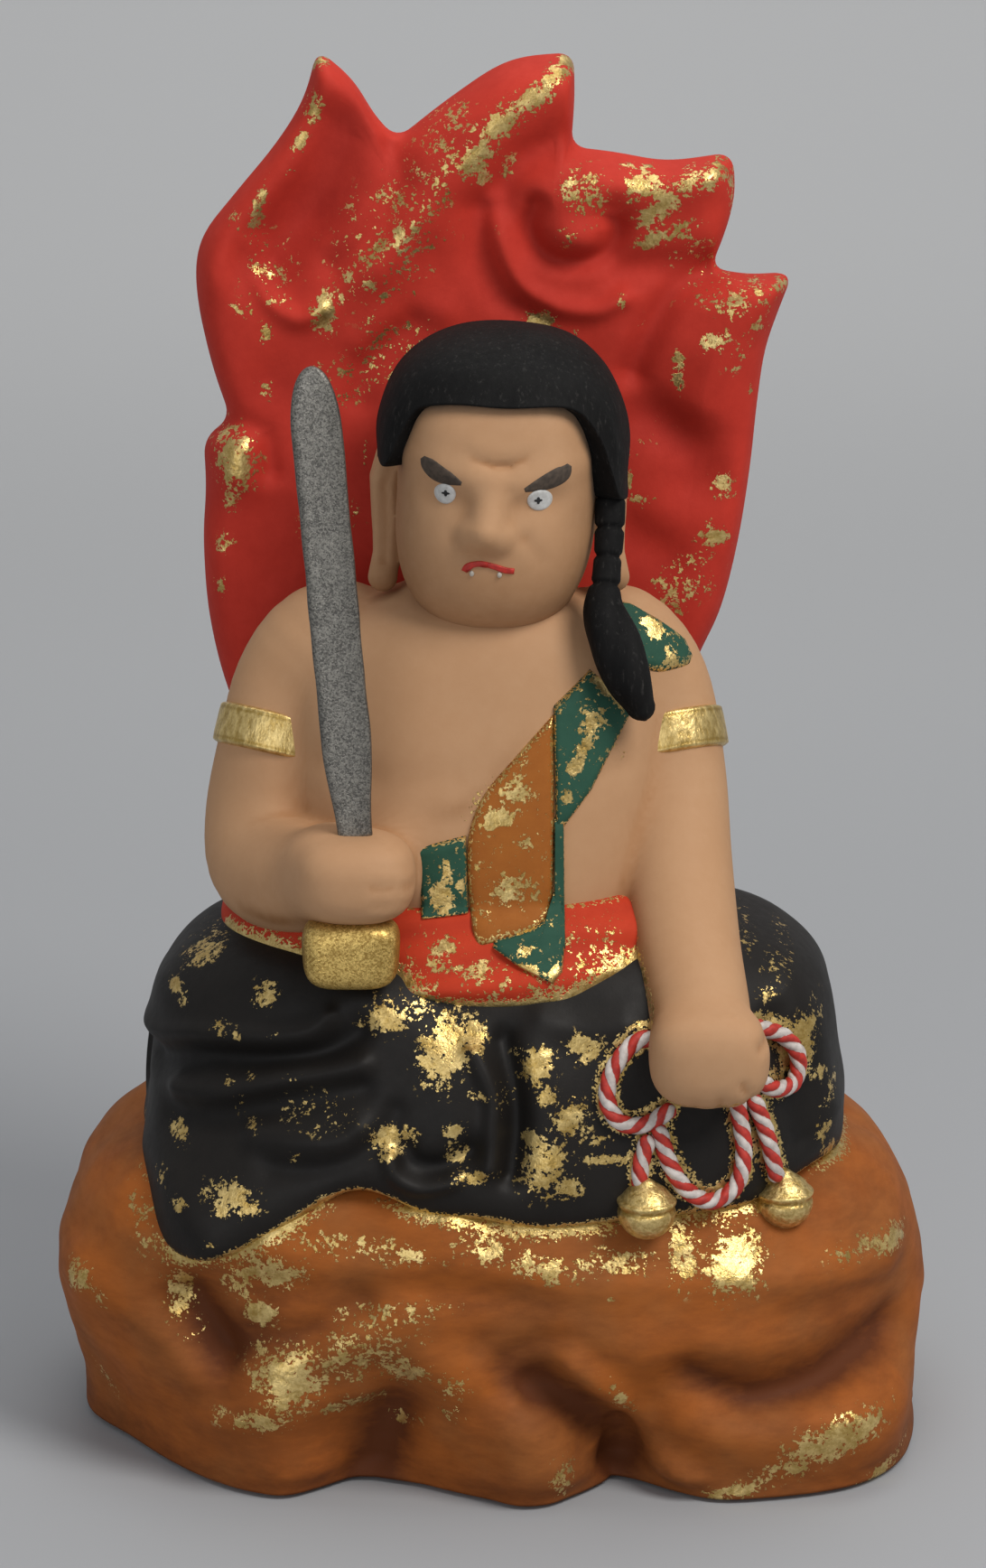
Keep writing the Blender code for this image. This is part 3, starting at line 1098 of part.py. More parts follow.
def main():
    rock = make_rock()
    halo = make_halo()
    seat(rock, "halo_stem")
    head = make_head()
    torso = make_torso()
    seat(torso, "neck_spigot", "head", "flame_halo", "halo_stem")
    waist = make_waist_sash()
    seat(waist, "torso", "flame_halo", "halo_stem")
    skirt = make_skirt()
    seat(skirt, "rock_base", "torso", "waist_sash", "flame_halo", "halo_stem")

    right_arm = add_part("right_arm", limb("right_arm", above_lap(RIGHT_ARM), sides=4), "clay_flesh")
    seat(right_arm, "torso", "waist_sash", "skirt", "flame_halo", "head", "neck_spigot")
    left_arm = add_part("left_arm", limb("left_arm", above_lap(LEFT_ARM), sides=4), "clay_flesh")
    seat(left_arm, "torso", "waist_sash", "skirt", "flame_halo", "head", "neck_spigot")
    fist = make_fist("right_fist", RIGHT_FIST, RIGHT_FIST_SIZE, Vector((1, 0, 0)))
    seat(fist, "right_arm", "torso", "waist_sash", "skirt")
    cut_sword_slot(fist)
    hand = make_fist("left_hand", LEFT_HAND, LEFT_HAND_SIZE, Vector((0, 0, -1)))
    seat(hand, "left_arm", "skirt", "rock_base")
    make_armlet("right_armlet", "right_arm", "torso", "flame_halo")
    make_armlet("left_armlet", "left_arm", "torso", "flame_halo")
    make_sword()
    pommel = make_pommel()
    seat(pommel, "right_fist", "right_arm", "waist_sash", "skirt", "torso")

    hair = make_hair()
    settle(hair, "flame_halo")
    for name, side in (("right_ear", -1), ("left_ear", 1)):
        seat(make_ear(name, side), "head", "hair_cap", "torso", "flame_halo")
    braid = make_braid()
    seat(braid, "hair_cap", "head", "left_ear", "torso", "left_arm")

    round_the_sash = ("right_fist", "side_braid", "head", "sword_pommel")
    panel = make_applique("sash_panel", SASH_PANEL, ("torso", "waist_sash"), "clay_orange", smooth=True)
    settle(panel, "skirt", *round_the_sash)
    facing = make_applique("sash_facing", SASH_FACING, ("torso",), "clay_green")
    settle(facing, "left_arm", "left_armlet", "sash_panel", *round_the_sash)
    tail = make_applique("sash_tail", SASH_TAIL, ("torso", "waist_sash"), "clay_green")
    settle(tail, "skirt", "sash_panel", "sash_facing", *round_the_sash)
    tuck = make_applique("sash_tuck", SASH_TUCK, ("torso",), "clay_green")
    settle(tuck, "waist_sash", "sash_panel", *round_the_sash)
    under_shoulder = ("left_arm", "torso")
    shoulder = make_applique("sash_shoulder", SASH_SHOULDER, under_shoulder,
    "clay_green", back=HALO_FRONT)
    settle(shoulder, "flame_halo", "left_ear", "hair_cap", "left_armlet", "sash_facing", *round_the_sash)

    ropes = {
        "lasso_left_loop": LASSO_LEFT_LOOP, "lasso_hanging_loop": LASSO_HANGING_LOOP,
        "lasso_right_loop": LASSO_RIGHT_LOOP, "lasso_left_tail": LASSO_LEFT_TAIL,
        "lasso_right_tail": LASSO_RIGHT_TAIL,
    }
    laid = []
    for name, path in ropes.items():
        seat(make_rope(name, path), "skirt", "rock_base", "left_hand", "left_arm", *laid)
        laid.append(name)
    for name, place in (("left_bell", LEFT_BELL), ("right_bell", RIGHT_BELL)):
        seat(make_bell(name, place), "skirt", "rock_base", *laid)

    bpy.context.view_layer.update()
    for piece in [thing for thing in PARTS.objects if thing.type == "MESH"]:
        finish_part(piece)


main()
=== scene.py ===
"""Looks of the painted clay guardian: modelled surfaces, brushed paint, torn gold leaf and glitter.

Every surface is worked out as whole numpy arrays in the frame's metres: grids of two parameters,
profiles carried along paths, and for the flesh a distance field whose zero level is meshed. The
figure faces -Y, and right and left are the figure's own.
"""

import math

import bpy
import numpy as np
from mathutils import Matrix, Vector


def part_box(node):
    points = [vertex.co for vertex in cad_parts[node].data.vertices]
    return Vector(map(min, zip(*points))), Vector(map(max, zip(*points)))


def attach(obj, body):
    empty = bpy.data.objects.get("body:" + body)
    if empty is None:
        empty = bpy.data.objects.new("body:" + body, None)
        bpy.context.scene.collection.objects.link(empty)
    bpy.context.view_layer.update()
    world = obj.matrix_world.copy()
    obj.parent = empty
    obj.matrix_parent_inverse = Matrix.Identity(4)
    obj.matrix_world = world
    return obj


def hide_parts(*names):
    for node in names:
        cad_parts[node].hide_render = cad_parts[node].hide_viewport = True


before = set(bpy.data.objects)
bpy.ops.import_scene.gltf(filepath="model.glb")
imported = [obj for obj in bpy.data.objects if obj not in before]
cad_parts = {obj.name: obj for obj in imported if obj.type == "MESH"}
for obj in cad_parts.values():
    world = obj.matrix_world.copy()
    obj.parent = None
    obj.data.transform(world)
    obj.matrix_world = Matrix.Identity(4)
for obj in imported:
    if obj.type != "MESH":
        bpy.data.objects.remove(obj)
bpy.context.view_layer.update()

MM = 0.001


def mm(*values):
    """Millimetres as an array of metres."""
    return np.array(values, float) * MM


def low_of(node):
    """Least corner of a CAD node's box."""
    return np.array(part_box(node)[0])


def high_of(node):
    """Greatest corner of a CAD node's box."""
    return np.array(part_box(node)[1])


# Places and sizes that hang on the frame

ROCK_TOP = high_of("rock_base")[2]
ROCK_HALF = (high_of("rock_base") - low_of("rock_base"))[:2] / 2
TORSO_ABOVE_LAP = 58.5 * MM
LAP = high_of("torso")[2] - TORSO_ABOVE_LAP
LAP_PLACE = np.array((0, 0, LAP))
HEAD_HALF = mm(17.1, 21.5, 24)
HEAD_DEPTH = -2 * MM
HEAD_MIDDLE = (low_of("head") + high_of("head"))[0] / 2
HEAD = np.array((HEAD_MIDDLE, HEAD_DEPTH, high_of("head")[2] - HEAD_HALF[2]))


# Curves and grids

SPLINE_STEPS = 24
STROKE_STEPS = 5
NEAREST_SLICE = 40
WAVE_COUNT, WAVE_SPREAD = 10, (0.7, 1.6)
PATCH_SPREAD, PATCH_EDGE = 1.12, 1.3


def part_of(value, full):
    """How much of a full measure a value is, from 0 to 1."""
    return np.clip(value / full, 0, 1)


def smoothstep(low, high, x):
    """From 0 at low to 1 at high: three times the square of the way less twice its cube."""
    t = part_of(x - low, high - low)
    return t * t * (3 - 2 * t)


def bell(x):
    """1 at zero, falling off as the exponential of the square's negative."""
    return np.exp(-np.square(x))


def unit(vector):
    """Vectors divided by their lengths."""
    return vector / np.maximum(np.linalg.norm(vector, axis=-1, keepdims=True), 1e-12)


def signed_power(value, power):
    """A power of the value's size, with its sign kept."""
    return np.sign(value) * np.abs(value) ** power


def circle(count, start=0.0):
    """Angles at even steps of a whole turn."""
    return np.linspace(start, start + 2 * math.pi, count, endpoint=False)


def turned_from(degrees, start):
    """Angle from a start, between -180 and 180 degrees."""
    return (degrees - start + 180) % 360 - 180


def around(angle, reach, z):
    """Points given by an angle, a reach from the upright axis and a height."""
    return np.stack(np.broadcast_arrays(reach * np.cos(angle), reach * np.sin(angle), z), axis=-1)


def length_along(line):
    """Length of a line from its start to each of its points."""
    return np.concatenate([[0], np.cumsum(np.linalg.norm(np.diff(line, axis=0), axis=1))])


def spline(points, count, closed=False, sharp=()):
    """A Catmull-Rom curve through the points at even steps of its length. Its tangent breaks at the
    sharp points."""
    p = np.asarray(points, float)
    n = len(p)
    i = np.arange(n if closed else n - 1)
    here, there = p[i], p[(i + 1) % n]
    before = p[i - 1] if closed else p[np.maximum(i - 1, 0)]
    after = p[(i + 2) % n] if closed else p[np.minimum(i + 2, n - 1)]
    broken = np.isin(np.arange(n), sharp)
    leave = np.where(broken[i][:, None], there - here, (there - before) / 2)
    arrive = np.where(broken[(i + 1) % n][:, None], there - here, (after - here) / 2)
    t = np.linspace(0, 1, SPLINE_STEPS, endpoint=False)[None, :, None]
    run = (
        here[:, None] * (2 * t**3 - 3 * t**2 + 1) + leave[:, None] * (t**3 - 2 * t**2 + t)
        + there[:, None] * (3 * t**2 - 2 * t**3) + arrive[:, None] * (t**3 - t**2)
    ).reshape(-1, p.shape[1])
    run = np.vstack([run, p[:1] if closed else p[-1:]])
    length = length_along(run)
    steps = np.linspace(0, length[-1], count, endpoint=not closed)
    return np.stack([np.interp(steps, length, column) for column in run.T], axis=1)


def superellipse(angle, reach_x, reach_y, power):
    """Distance from the middle to a rounded rectangle's outline."""
    across = np.abs(np.cos(angle) / reach_x) ** power
    along = np.abs(np.sin(angle) / reach_y) ** power
    return (across + along) ** (-1 / power)


def grid_normals(points, row):
    """Unit normals of a grid whose columns run round it: the cross product of its two slopes, turned
    outwards as the given row shows."""
    down = np.gradient(points, axis=0)
    along = np.roll(points, -1, axis=1) - np.roll(points, 1, axis=1)
    normal = unit(np.cross(along, down))
    return normal * np.sign((normal[row] * points[row] * (1, 1, 0)).sum())


def stroke_distance(x, z, line):
    """Distance of each place seen from the front to a line of straight runs."""
    best = np.full(np.shape(x), np.inf)
    for (x0, z0), (x1, z1) in zip(line, line[1:]):
        dx, dz = x1 - x0, z1 - z0
        t = np.clip(((x - x0) * dx + (z - z0) * dz) / (dx * dx + dz * dz), 0, 1)
        best = np.minimum(best, np.hypot(x - x0 - t * dx, z - z0 - t * dz))
    return best


def strokes(x, z, table):
    """Sum of soft ridges and hollows along lines: each stands out by its height times a bell of the
    distance."""
    height = np.zeros(np.shape(x))
    for points, half_width, rise in table:
        line = mm(*points)
        if len(line) > 2:
            line = spline(line, STROKE_STEPS * len(line))
        height += rise * MM * bell(stroke_distance(x, z, line) / (half_width * MM))
    return height


def patches(x, z, table):
    """Greatest cover of a set of leaning oval patches: 1 in the middle of one and 0 well outside."""
    cover = np.zeros(np.shape(x))
    for cx, cz, rx, rz, lean, strength in table:
        c, s = math.cos(math.radians(lean)), math.sin(math.radians(lean))
        dx, dz = x - cx * MM, z - cz * MM
        u = (dx * c + dz * s) / (PATCH_SPREAD * rx * MM)
        v = (dz * c - dx * s) / (PATCH_SPREAD * rz * MM)
        cover = np.maximum(cover, strength * np.exp(-((u * u + v * v) ** PATCH_EDGE)))
    return cover


def nearest(points, line):
    """Distance from each point to the nearest point of a dense line, worked out in slices."""
    best = np.full(len(points), np.inf)
    for start in range(0, len(line), NEAREST_SLICE):
        part = line[start: start + NEAREST_SLICE]
        best = np.minimum(best, np.linalg.norm(points[:, None] - part[None], axis=2).min(axis=1))
    return best


def wander(points, size, rise, seed):
    """A smooth random swell: a sum of sines whose directions and phases are drawn from the seed."""
    draw = np.random.default_rng(seed)
    swell = np.zeros(points.shape[:-1])
    for _ in range(WAVE_COUNT):
        direction = draw.normal(size=3)
        direction *= 2 * math.pi / (size * draw.uniform(*WAVE_SPREAD) * np.linalg.norm(direction))
        swell += np.sin(points @ direction + draw.uniform(0, 2 * math.pi))
    return rise * swell / math.sqrt(WAVE_COUNT)


def swells(points, table):
    """Sum of random swells, each with its size and rise in mm and its seed."""
    return sum(wander(points, size * MM, rise * MM, seed) for size, rise, seed in table)


def stray_leaf(points, size, most, least, seed):
    """Thin drifts of leaf about the given size, where a random swell stands above the least."""
    return most * smoothstep(least, least + 1, wander(points, size, 1.0, seed))


# Meshes

CAP_ROWS = 5
CAP_CLOSE = 0.995


def add_mesh(name, points, faces, **attributes):
    """A mesh object from arrays, turned to face outwards, with float attributes on its points."""
    points = np.ascontiguousarray(points, np.float32)
    corners = np.moveaxis(points[faces], 1, 0)
    fans = [np.cross(corners[k], corners[k + 1]) for k in range(1, faces.shape[1] - 1)]
    volume = sum(np.einsum("ij,ij->", corners[0], fan) for fan in fans)
    if volume < 0:
        faces = faces[:, ::-1]
    mesh = bpy.data.meshes.new(name)
    mesh.vertices.add(len(points))
    mesh.vertices.foreach_set("co", points.ravel())
    mesh.loops.add(faces.size)
    mesh.loops.foreach_set("vertex_index", np.ascontiguousarray(faces, np.int32).ravel())
    mesh.polygons.add(len(faces))
    mesh.polygons.foreach_set("loop_start", np.arange(0, faces.size, faces.shape[1], dtype=np.int32))
    mesh.update(calc_edges=True)
    mesh.validate()
    mesh.shade_smooth()
    for key, values in attributes.items():
        layer = mesh.attributes.new(key, "FLOAT", "POINT")
        layer.data.foreach_set("value", np.ascontiguousarray(values, np.float32).ravel())
    piece = bpy.data.objects.new(name, mesh)
    bpy.context.scene.collection.objects.link(piece)
    return piece


def add_shell(name, grid, **attributes):
    """A closed surface from a grid whose columns run round it. The first and last rows are each drawn
    into one point."""
    rows, cols = grid.shape[:2]
    index = np.arange(rows * cols).reshape(rows, cols)
    turned = np.roll(index, -1, axis=1)
    quads = np.stack([index[:-1], turned[:-1], turned[1:], index[1:]], axis=-1).reshape(-1, 4)
    start = np.stack([np.full(cols, rows * cols), turned[0], index[0]], axis=-1)
    end = np.stack([np.full(cols, rows * cols + 1), index[-1], turned[-1]], axis=-1)
    points = np.vstack([grid.reshape(-1, 3), grid[0].mean(axis=0), grid[-1].mean(axis=0)])
    values = {
        key: np.concatenate([value.ravel(), [value[0].mean(), value[-1].mean()]])
        for key, value in attributes.items()
    }
    faces = np.vstack([quads[:, [0, 1, 2]], quads[:, [0, 2, 3]], start, end])
    return add_mesh(name, points, faces, **values)


def tube(path, radius, sides, reference):
    """A round section carried along a path, with half-round ends. Returns the rows of points, their
    directions outwards, each row's place along the path and each column's angle."""
    radius = np.broadcast_to(radius, len(path))
    heading = unit(np.gradient(path, axis=0))
    bend = np.linspace(0, math.pi / 2, CAP_ROWS + 1)[1:]
    narrow = np.cos(bend * CAP_CLOSE)
    first = path[0] - np.sin(bend)[::-1, None] * radius[0] * heading[0]
    last = path[-1] + np.sin(bend)[:, None] * radius[-1] * heading[-1]
    line = np.vstack([first, path, last])
    size = np.concatenate([radius[0] * narrow[::-1], radius, radius[-1] * narrow])
    heading = np.pad(heading, ((CAP_ROWS, CAP_ROWS), (0, 0)), mode="edge")
    side = unit(np.cross(heading, reference))
    up = np.cross(side, heading)
    angle = circle(sides)
    ring = np.cos(angle)[None, :, None] * side[:, None] + np.sin(angle)[None, :, None] * up[:, None]
    return line[:, None] + size[:, None, None] * ring, ring, length_along(line), angle


# Distance fields: negative inside, in metres

LAND_ROUNDS, LAND_SHARE, LAND_STEP = 70, 0.7, mm(-2, 4)
RELAX_STEPS = (0.5, -0.52)


class Clay:
    """A block of sample points with a distance at each, to which shapes are added as a modeller adds
    clay."""

    def __init__(self, low, high, step):
        self.low, self.step = np.array(low), step
        count = np.ceil((np.array(high) - self.low) / step).astype(int) + 1
        axes = [(self.low[k] + step * np.arange(count[k])).astype(np.float32) for k in range(3)]
        self.x, self.y, self.z = np.meshgrid(*axes, indexing="ij", sparse=True)
        self.field = np.full(count, 1.0, np.float32)

    def add(self, distance, blend=0.0):
        """Joins a shape on with a smooth fillet of about the blend's size."""
        if blend:
            h = np.clip(0.5 + 0.5 * (distance - self.field) / blend, 0, 1)
            self.field = distance * (1 - h) + self.field * h - blend * h * (1 - h)
        else:
            self.field = np.minimum(self.field, distance)

    def press(self, line, half_width, depth):
        """Presses a soft groove along a line of points; a negative depth raises a ridge."""
        self.field = self.field + depth * bell(self.line_distance(line) / half_width)

    def line_distance(self, line, radii=None):
        """Distance to a line of straight runs, less a radius that changes evenly along each run."""
        best = np.inf
        for k in range(len(line) - 1):
            a, run = line[k], line[k + 1] - line[k]
            dx, dy, dz = self.x - a[0], self.y - a[1], self.z - a[2]
            t = np.clip((dx * run[0] + dy * run[1] + dz * run[2]) / max(run @ run, 1e-12), 0, 1)
            gap = np.sqrt((dx - t * run[0]) ** 2 + (dy - t * run[1]) ** 2 + (dz - t * run[2]) ** 2)
            if radii is not None:
                gap = gap - (radii[k] + t * (radii[k + 1] - radii[k]))
            best = np.minimum(best, gap)
        return best.astype(np.float32)

    def rounds(self, start, run):
        """Balls joined by straight cones; each has its place from the start and its radius."""
        return self.line_distance(start + run[:, :3], run[:, 3])

    def squared_ball(self, centre, half, power):
        """A ball with squared-off sides: the power mean of its three offsets, scaled to a near distance."""
        offsets = (self.x - centre[0], self.y - centre[1], self.z - centre[2])
        mean = sum(np.abs(offset / reach) ** power for offset, reach in zip(offsets, half))
        return ((mean ** (1 / power) - 1) * min(half)).astype(np.float32)

    def sample(self, points):
        """The field between its sample points, by straight mixing on each axis."""
        place = (points - self.low) / self.step
        cell = np.clip(np.floor(place).astype(int), 0, np.array(self.field.shape) - 2)
        f = np.clip(place - cell, 0, 1)
        value = 0
        for corner in np.ndindex(2, 2, 2):
            weight = np.prod(np.where(corner, f, 1 - f), axis=-1)
            value = value + weight * self.field[tuple(np.moveaxis(cell + corner, -1, 0))]
        return value

    def land(self, points, direction):
        """Moves points along a direction until they lie on the surface."""
        for _ in range(LAND_ROUNDS):
            step = np.clip(self.sample(points), *LAND_STEP) * LAND_SHARE
            points = points + step[..., None] * direction
        return points

    def skin(self):
        """The zero level as points and quads. Each crossed cell has a point at the mean of its edges'
        crossings, and each crossed sample edge has a quad through the four cells round it."""
        field, inside = self.field, self.field < 0
        m, n, p = np.array(field.shape) - 1
        corners = [inside[i: i + m, j: j + n, k: k + p] for i, j, k in np.ndindex(2, 2, 2)]
        count = sum(corner.astype(np.int8) for corner in corners)
        cells = np.argwhere((count > 0) & (count < 8))
        total, crossed = np.zeros((len(cells), 3)), np.zeros(len(cells))
        for axis in range(3):
            for pair in np.ndindex(2, 2):
                start, end = np.insert(pair, axis, 0), np.insert(pair, axis, 1)
                f0 = field[tuple((cells + start).T)].astype(float)
                f1 = field[tuple((cells + end).T)].astype(float)
                cut = (f0 < 0) != (f1 < 0)
                t = np.where(cut, f0 / np.where(f0 == f1, 1, f0 - f1), 0)
                total += cut[:, None] * (start + t[:, None] * (end - start))
                crossed += cut
        points = self.low + self.step * (cells + total / crossed[:, None])
        index = np.full(count.shape, -1, np.int64)
        index[tuple(cells.T)] = np.arange(len(cells))
        faces = []
        for axis in range(3):
            others = [k for k in range(3) if k != axis]
            turned = np.moveaxis(inside, axis, 0)
            cut = np.moveaxis(turned[:-1] != turned[1:], 0, axis)
            for other in others:
                np.moveaxis(cut, other, 0)[[0, -1]] = False
            edge = np.argwhere(cut)
            flip = inside[tuple(edge.T)] ^ (axis == 1)
            step_a, step_b = np.eye(3, dtype=int)[others]
            back = (step_a + step_b, step_b, 0 * step_a, step_a)
            quad = np.stack([index[tuple((edge - step).T)] for step in back], axis=1)
            faces.append(np.where(flip[:, None], quad, quad[:, ::-1]))
        return points, np.vstack(faces)


def gather(values, faces, count):
    """Sum at each point of the values of the faces that meet there."""
    total = np.zeros((count, *values.shape[1:]))
    for k in range(faces.shape[1]):
        np.add.at(total, faces[:, k], values)
    return total


def pull(points, faces):
    """From each point to the mean of the middles of the faces that meet there."""
    total = gather(points[faces].mean(axis=1), faces, len(points))
    number = gather(np.ones(len(faces)), faces, len(points))
    return total / number[:, None] - points


def relax(points, faces, rounds):
    """Evens out a mesh: each point moves half-way to the mean round it, then a little further back."""
    for strength in RELAX_STEPS * rounds:
        points = points + strength * pull(points, faces)
    return points


def hollow_of(points, faces):
    """How far each point lies below the mean round it, along its own normal."""
    sides = points[faces[:, [1, -1]]] - points[faces[:, :1]]
    normal = unit(gather(np.cross(sides[:, 0], sides[:, 1]), faces, len(points)))
    return np.einsum("ij,ij->i", pull(points, faces), normal)


# Shader maths

MIX_LOW, MIX_HIGH, MIX_RESULT = 6, 7, 2


class Value:
    """A shader socket with arithmetic: each operator adds the Math node that does it."""

    def __init__(self, paint, socket):
        self.paint, self.socket = paint, socket

    def math(self, operation, *values, clamp=False):
        settings = {"operation": operation, "use_clamp": clamp}
        return self.paint.node("ShaderNodeMath", settings, dict(enumerate(values)))

    def __add__(self, other):
        return self.math("ADD", self, other)

    def __sub__(self, other):
        return self.math("SUBTRACT", self, other)

    def __rsub__(self, other):
        return self.math("SUBTRACT", other, self)

    def __mul__(self, other):
        return self.math("MULTIPLY", self, other)

    __radd__, __rmul__ = __add__, __mul__

    def clamp(self):
        return self.math("ADD", self, 0, clamp=True)

    def highest(self, other):
        return self.math("MAXIMUM", self, other)

    def step(self, low, high):
        """0 below low, 1 above high and smooth between."""
        settings = {"interpolation_type": "SMOOTHSTEP"}
        inputs = {"Value": self, "From Min": low, "From Max": high}
        return self.paint.node("ShaderNodeMapRange", settings, inputs)


class Paint:
    """A material under construction."""

    def __init__(self, name):
        self.material = bpy.data.materials.new(name)
        self.material.use_nodes = True
        self.tree = self.material.node_tree
        self.shader = self.tree.nodes["Principled BSDF"]
        self.place = self.node("ShaderNodeTexCoord", {}, {}, "Object")

    def node(self, kind, settings, inputs, output=0):
        """Adds a node: its settings first, then the values or links of its sockets. Returns one output."""
        made = self.tree.nodes.new(kind)
        for key, value in settings.items():
            setattr(made, key, value)
        for key, value in inputs.items():
            self.plug(made.inputs[key], value)
        return Value(self, made.outputs[output])

    def plug(self, socket, value):
        """Links a socket to a value, or sets the socket's own."""
        if isinstance(value, Value):
            self.tree.links.new(value.socket, socket)
        elif isinstance(value, tuple) and socket.type == "RGBA":
            socket.default_value = (*value, 1)
        else:
            socket.default_value = value

    def noise(self, size, detail=3.0, stretch=(1, 1, 1), roughness=0.55):
        """Noise from 0 to 1 whose features are about the given size."""
        place = self.place
        if stretch != (1, 1, 1):
            place = self.node("ShaderNodeMapping", {}, {"Vector": place, "Scale": stretch})
        inputs = {"Vector": place, "Scale": 1 / size, "Detail": detail, "Roughness": roughness}
        return self.node("ShaderNodeTexNoise", {}, inputs)

    def grains(self, size):
        """A random value from 0 to 1 in each cell of the given size, as grains of glitter have."""
        colour = self.node("ShaderNodeTexVoronoi", {}, {"Vector": self.place, "Scale": 1 / size}, "Color")
        return self.node("ShaderNodeSeparateColor", {}, {0: colour}, 0)

    def attribute(self, name):
        return self.node("ShaderNodeAttribute", {"attribute_name": name}, {}, "Fac")

    def mix(self, factor, low, high):
        """A colour between two colours."""
        inputs = {"Factor": factor, MIX_LOW: low, MIX_HIGH: high}
        return self.node("ShaderNodeMix", {"data_type": "RGBA"}, inputs, MIX_RESULT)

    def bump(self, height, distance, strength=1.0, under=None):
        inputs = {"Height": height, "Distance": distance, "Strength": strength}
        if under is not None:
            inputs["Normal"] = under
        return self.node("ShaderNodeBump", {}, inputs)

    def finish(self, **sockets):
        for key, value in sockets.items():
            self.plug(self.shader.inputs[key.replace("_", " ")], value)
        return self.material


GOLD_PALE = (0.8, 0.6, 0.25)
GOLD_DEEP = (0.42, 0.27, 0.07)


def painted_clay(
    name, colour, shade, brush=0.35, leaf=False, dust=False, tints=(), roughness=0.72, streaks=(1, 1, 1),
    bump=0.12 * MM, gloss=0.22, wear_and_shade=None, mottle=None,
):
    """Brushed matt paint on clay. Attributes give painted shade in creases, tinted washes, torn gold leaf
    and lines of gold dust."""
    paint = Paint(name)
    broad = paint.noise(14 * MM, 4, streaks)
    fine = paint.noise(2.2 * MM, 5, streaks, 0.65)
    grain = paint.noise(0.5 * MM, 2)
    # The crease shade attribute darkens the coat towards the shade colour: painted shade in hollows and
    # creases.
    tone = (broad * 0.6 + fine * 0.4).step(0.32, 0.68) * brush + paint.attribute("crease") * 0.9
    if mottle:
        colour = paint.mix(paint.noise(19 * MM, 3).step(0.38, 0.66) * 0.7, colour, mottle)
    coat = paint.mix(tone.clamp(), colour, shade)
    # Scuffs: lighter spots of real wear on the paint, in the given colour.
    if wear_and_shade:
        scuff = paint.noise(1.3 * MM, 6, streaks, 0.75).step(0.54, 0.72) * 0.7
        coat = paint.mix(scuff, coat, wear_and_shade)
    # Tints: the flesh's ochre is partly its own tint and partly painted shade.
    for attribute, tint in tints:
        coat = paint.mix((paint.attribute(attribute) * (fine * 0.8 + 0.6)).clamp(), coat, tint)
    rough = roughness + (fine - 0.5) * 0.2
    normal = paint.bump(grain * 0.35 + fine * 0.65, bump, 0.5)
    sockets = {"Base_Color": coat, "Roughness": rough, "Normal": normal, "Specular_IOR_Level": gloss}
    if leaf or dust:
        masks = [make(paint) for make, wanted in ((leaf_mask, leaf), (dust_mask, dust)) if wanted]
        gilding = masks[0] if len(masks) == 1 else masks[0].highest(masks[1])
        sockets.update(gilded(paint, gilding, coat, rough, normal))
    return paint.finish(**sockets)


def gilded(paint, cover, coat, rough, normal):
    """Lays crumpled gold over a coat of paint wherever the cover is 1."""
    crumple = paint.noise(1.7 * MM, 4, roughness=0.6)
    drift = paint.noise(5 * MM, 3)
    tone = (paint.grains(0.3 * MM) * 0.14 + crumple * 0.6 + drift * 0.6).step(0.42, 0.92)
    return {
        "Base_Color": paint.mix(cover, coat, paint.mix(tone, GOLD_DEEP, GOLD_PALE)),
        "Roughness": rough + cover * (crumple * 0.25 + 0.24 - rough),
        "Metallic": cover * 0.85,
        "Normal": paint.bump(cover * 0.4 + crumple * cover, 0.42 * MM, 0.7, normal),
    }


def leaf_mask(paint):
    """Torn gold leaf: the patch's cover against coarse and fine noise, plus flecks scattered round it."""
    cover = paint.attribute("leaf")
    coarse = (paint.noise(2.9 * MM, 7, roughness=0.72) - 0.5) * 3.6
    fine = (paint.noise(0.8 * MM, 4, roughness=0.65) - 0.5) * 2.2
    sheet = (cover * 1.3 + (coarse + fine)).step(0.66, 0.73) * cover.step(0.03, 0.2)
    fleck = (paint.noise(0.8 * MM, 2) + cover * 0.2).step(0.69, 0.72) * cover.step(0.05, 0.3)
    return sheet.highest(fleck)


def dust_mask(paint):
    """Gold glitter brushed along a line: grains that thin out with the distance from it."""
    line = paint.attribute("dust")
    grain = paint.grains(0.36 * MM) * 0.6 + paint.noise(1.6 * MM, 3) * 0.8
    return (grain + line * 0.9).step(1.14, 1.22) * line.step(0.03, 0.25)


def gold_foil(name, size, stretch=(1, 1, 1)):
    """Gold foil pressed over a solid: bright gold with crumples of the given size and stretch, and painted
    shade in its creases.
    """
    paint = Paint(name)
    crumple = paint.noise(size, 4, stretch, 0.6)
    # The foil's tone comes from its crumples and is darker where the crease shade attribute lies: painted
    # shade in grooves and slots.
    wear_and_shade = crumple * 0.8 + paint.noise(0.5 * MM, 2) * 0.3 - paint.attribute("crease") * 0.3
    return paint.finish(
        Base_Color=paint.mix(wear_and_shade.step(0.32, 0.72), GOLD_DEEP, GOLD_PALE),
        Roughness=0.26 + crumple * 0.2,
        Metallic=0.85,
        Normal=paint.bump(crumple, 0.4 * MM, 0.7),
    )


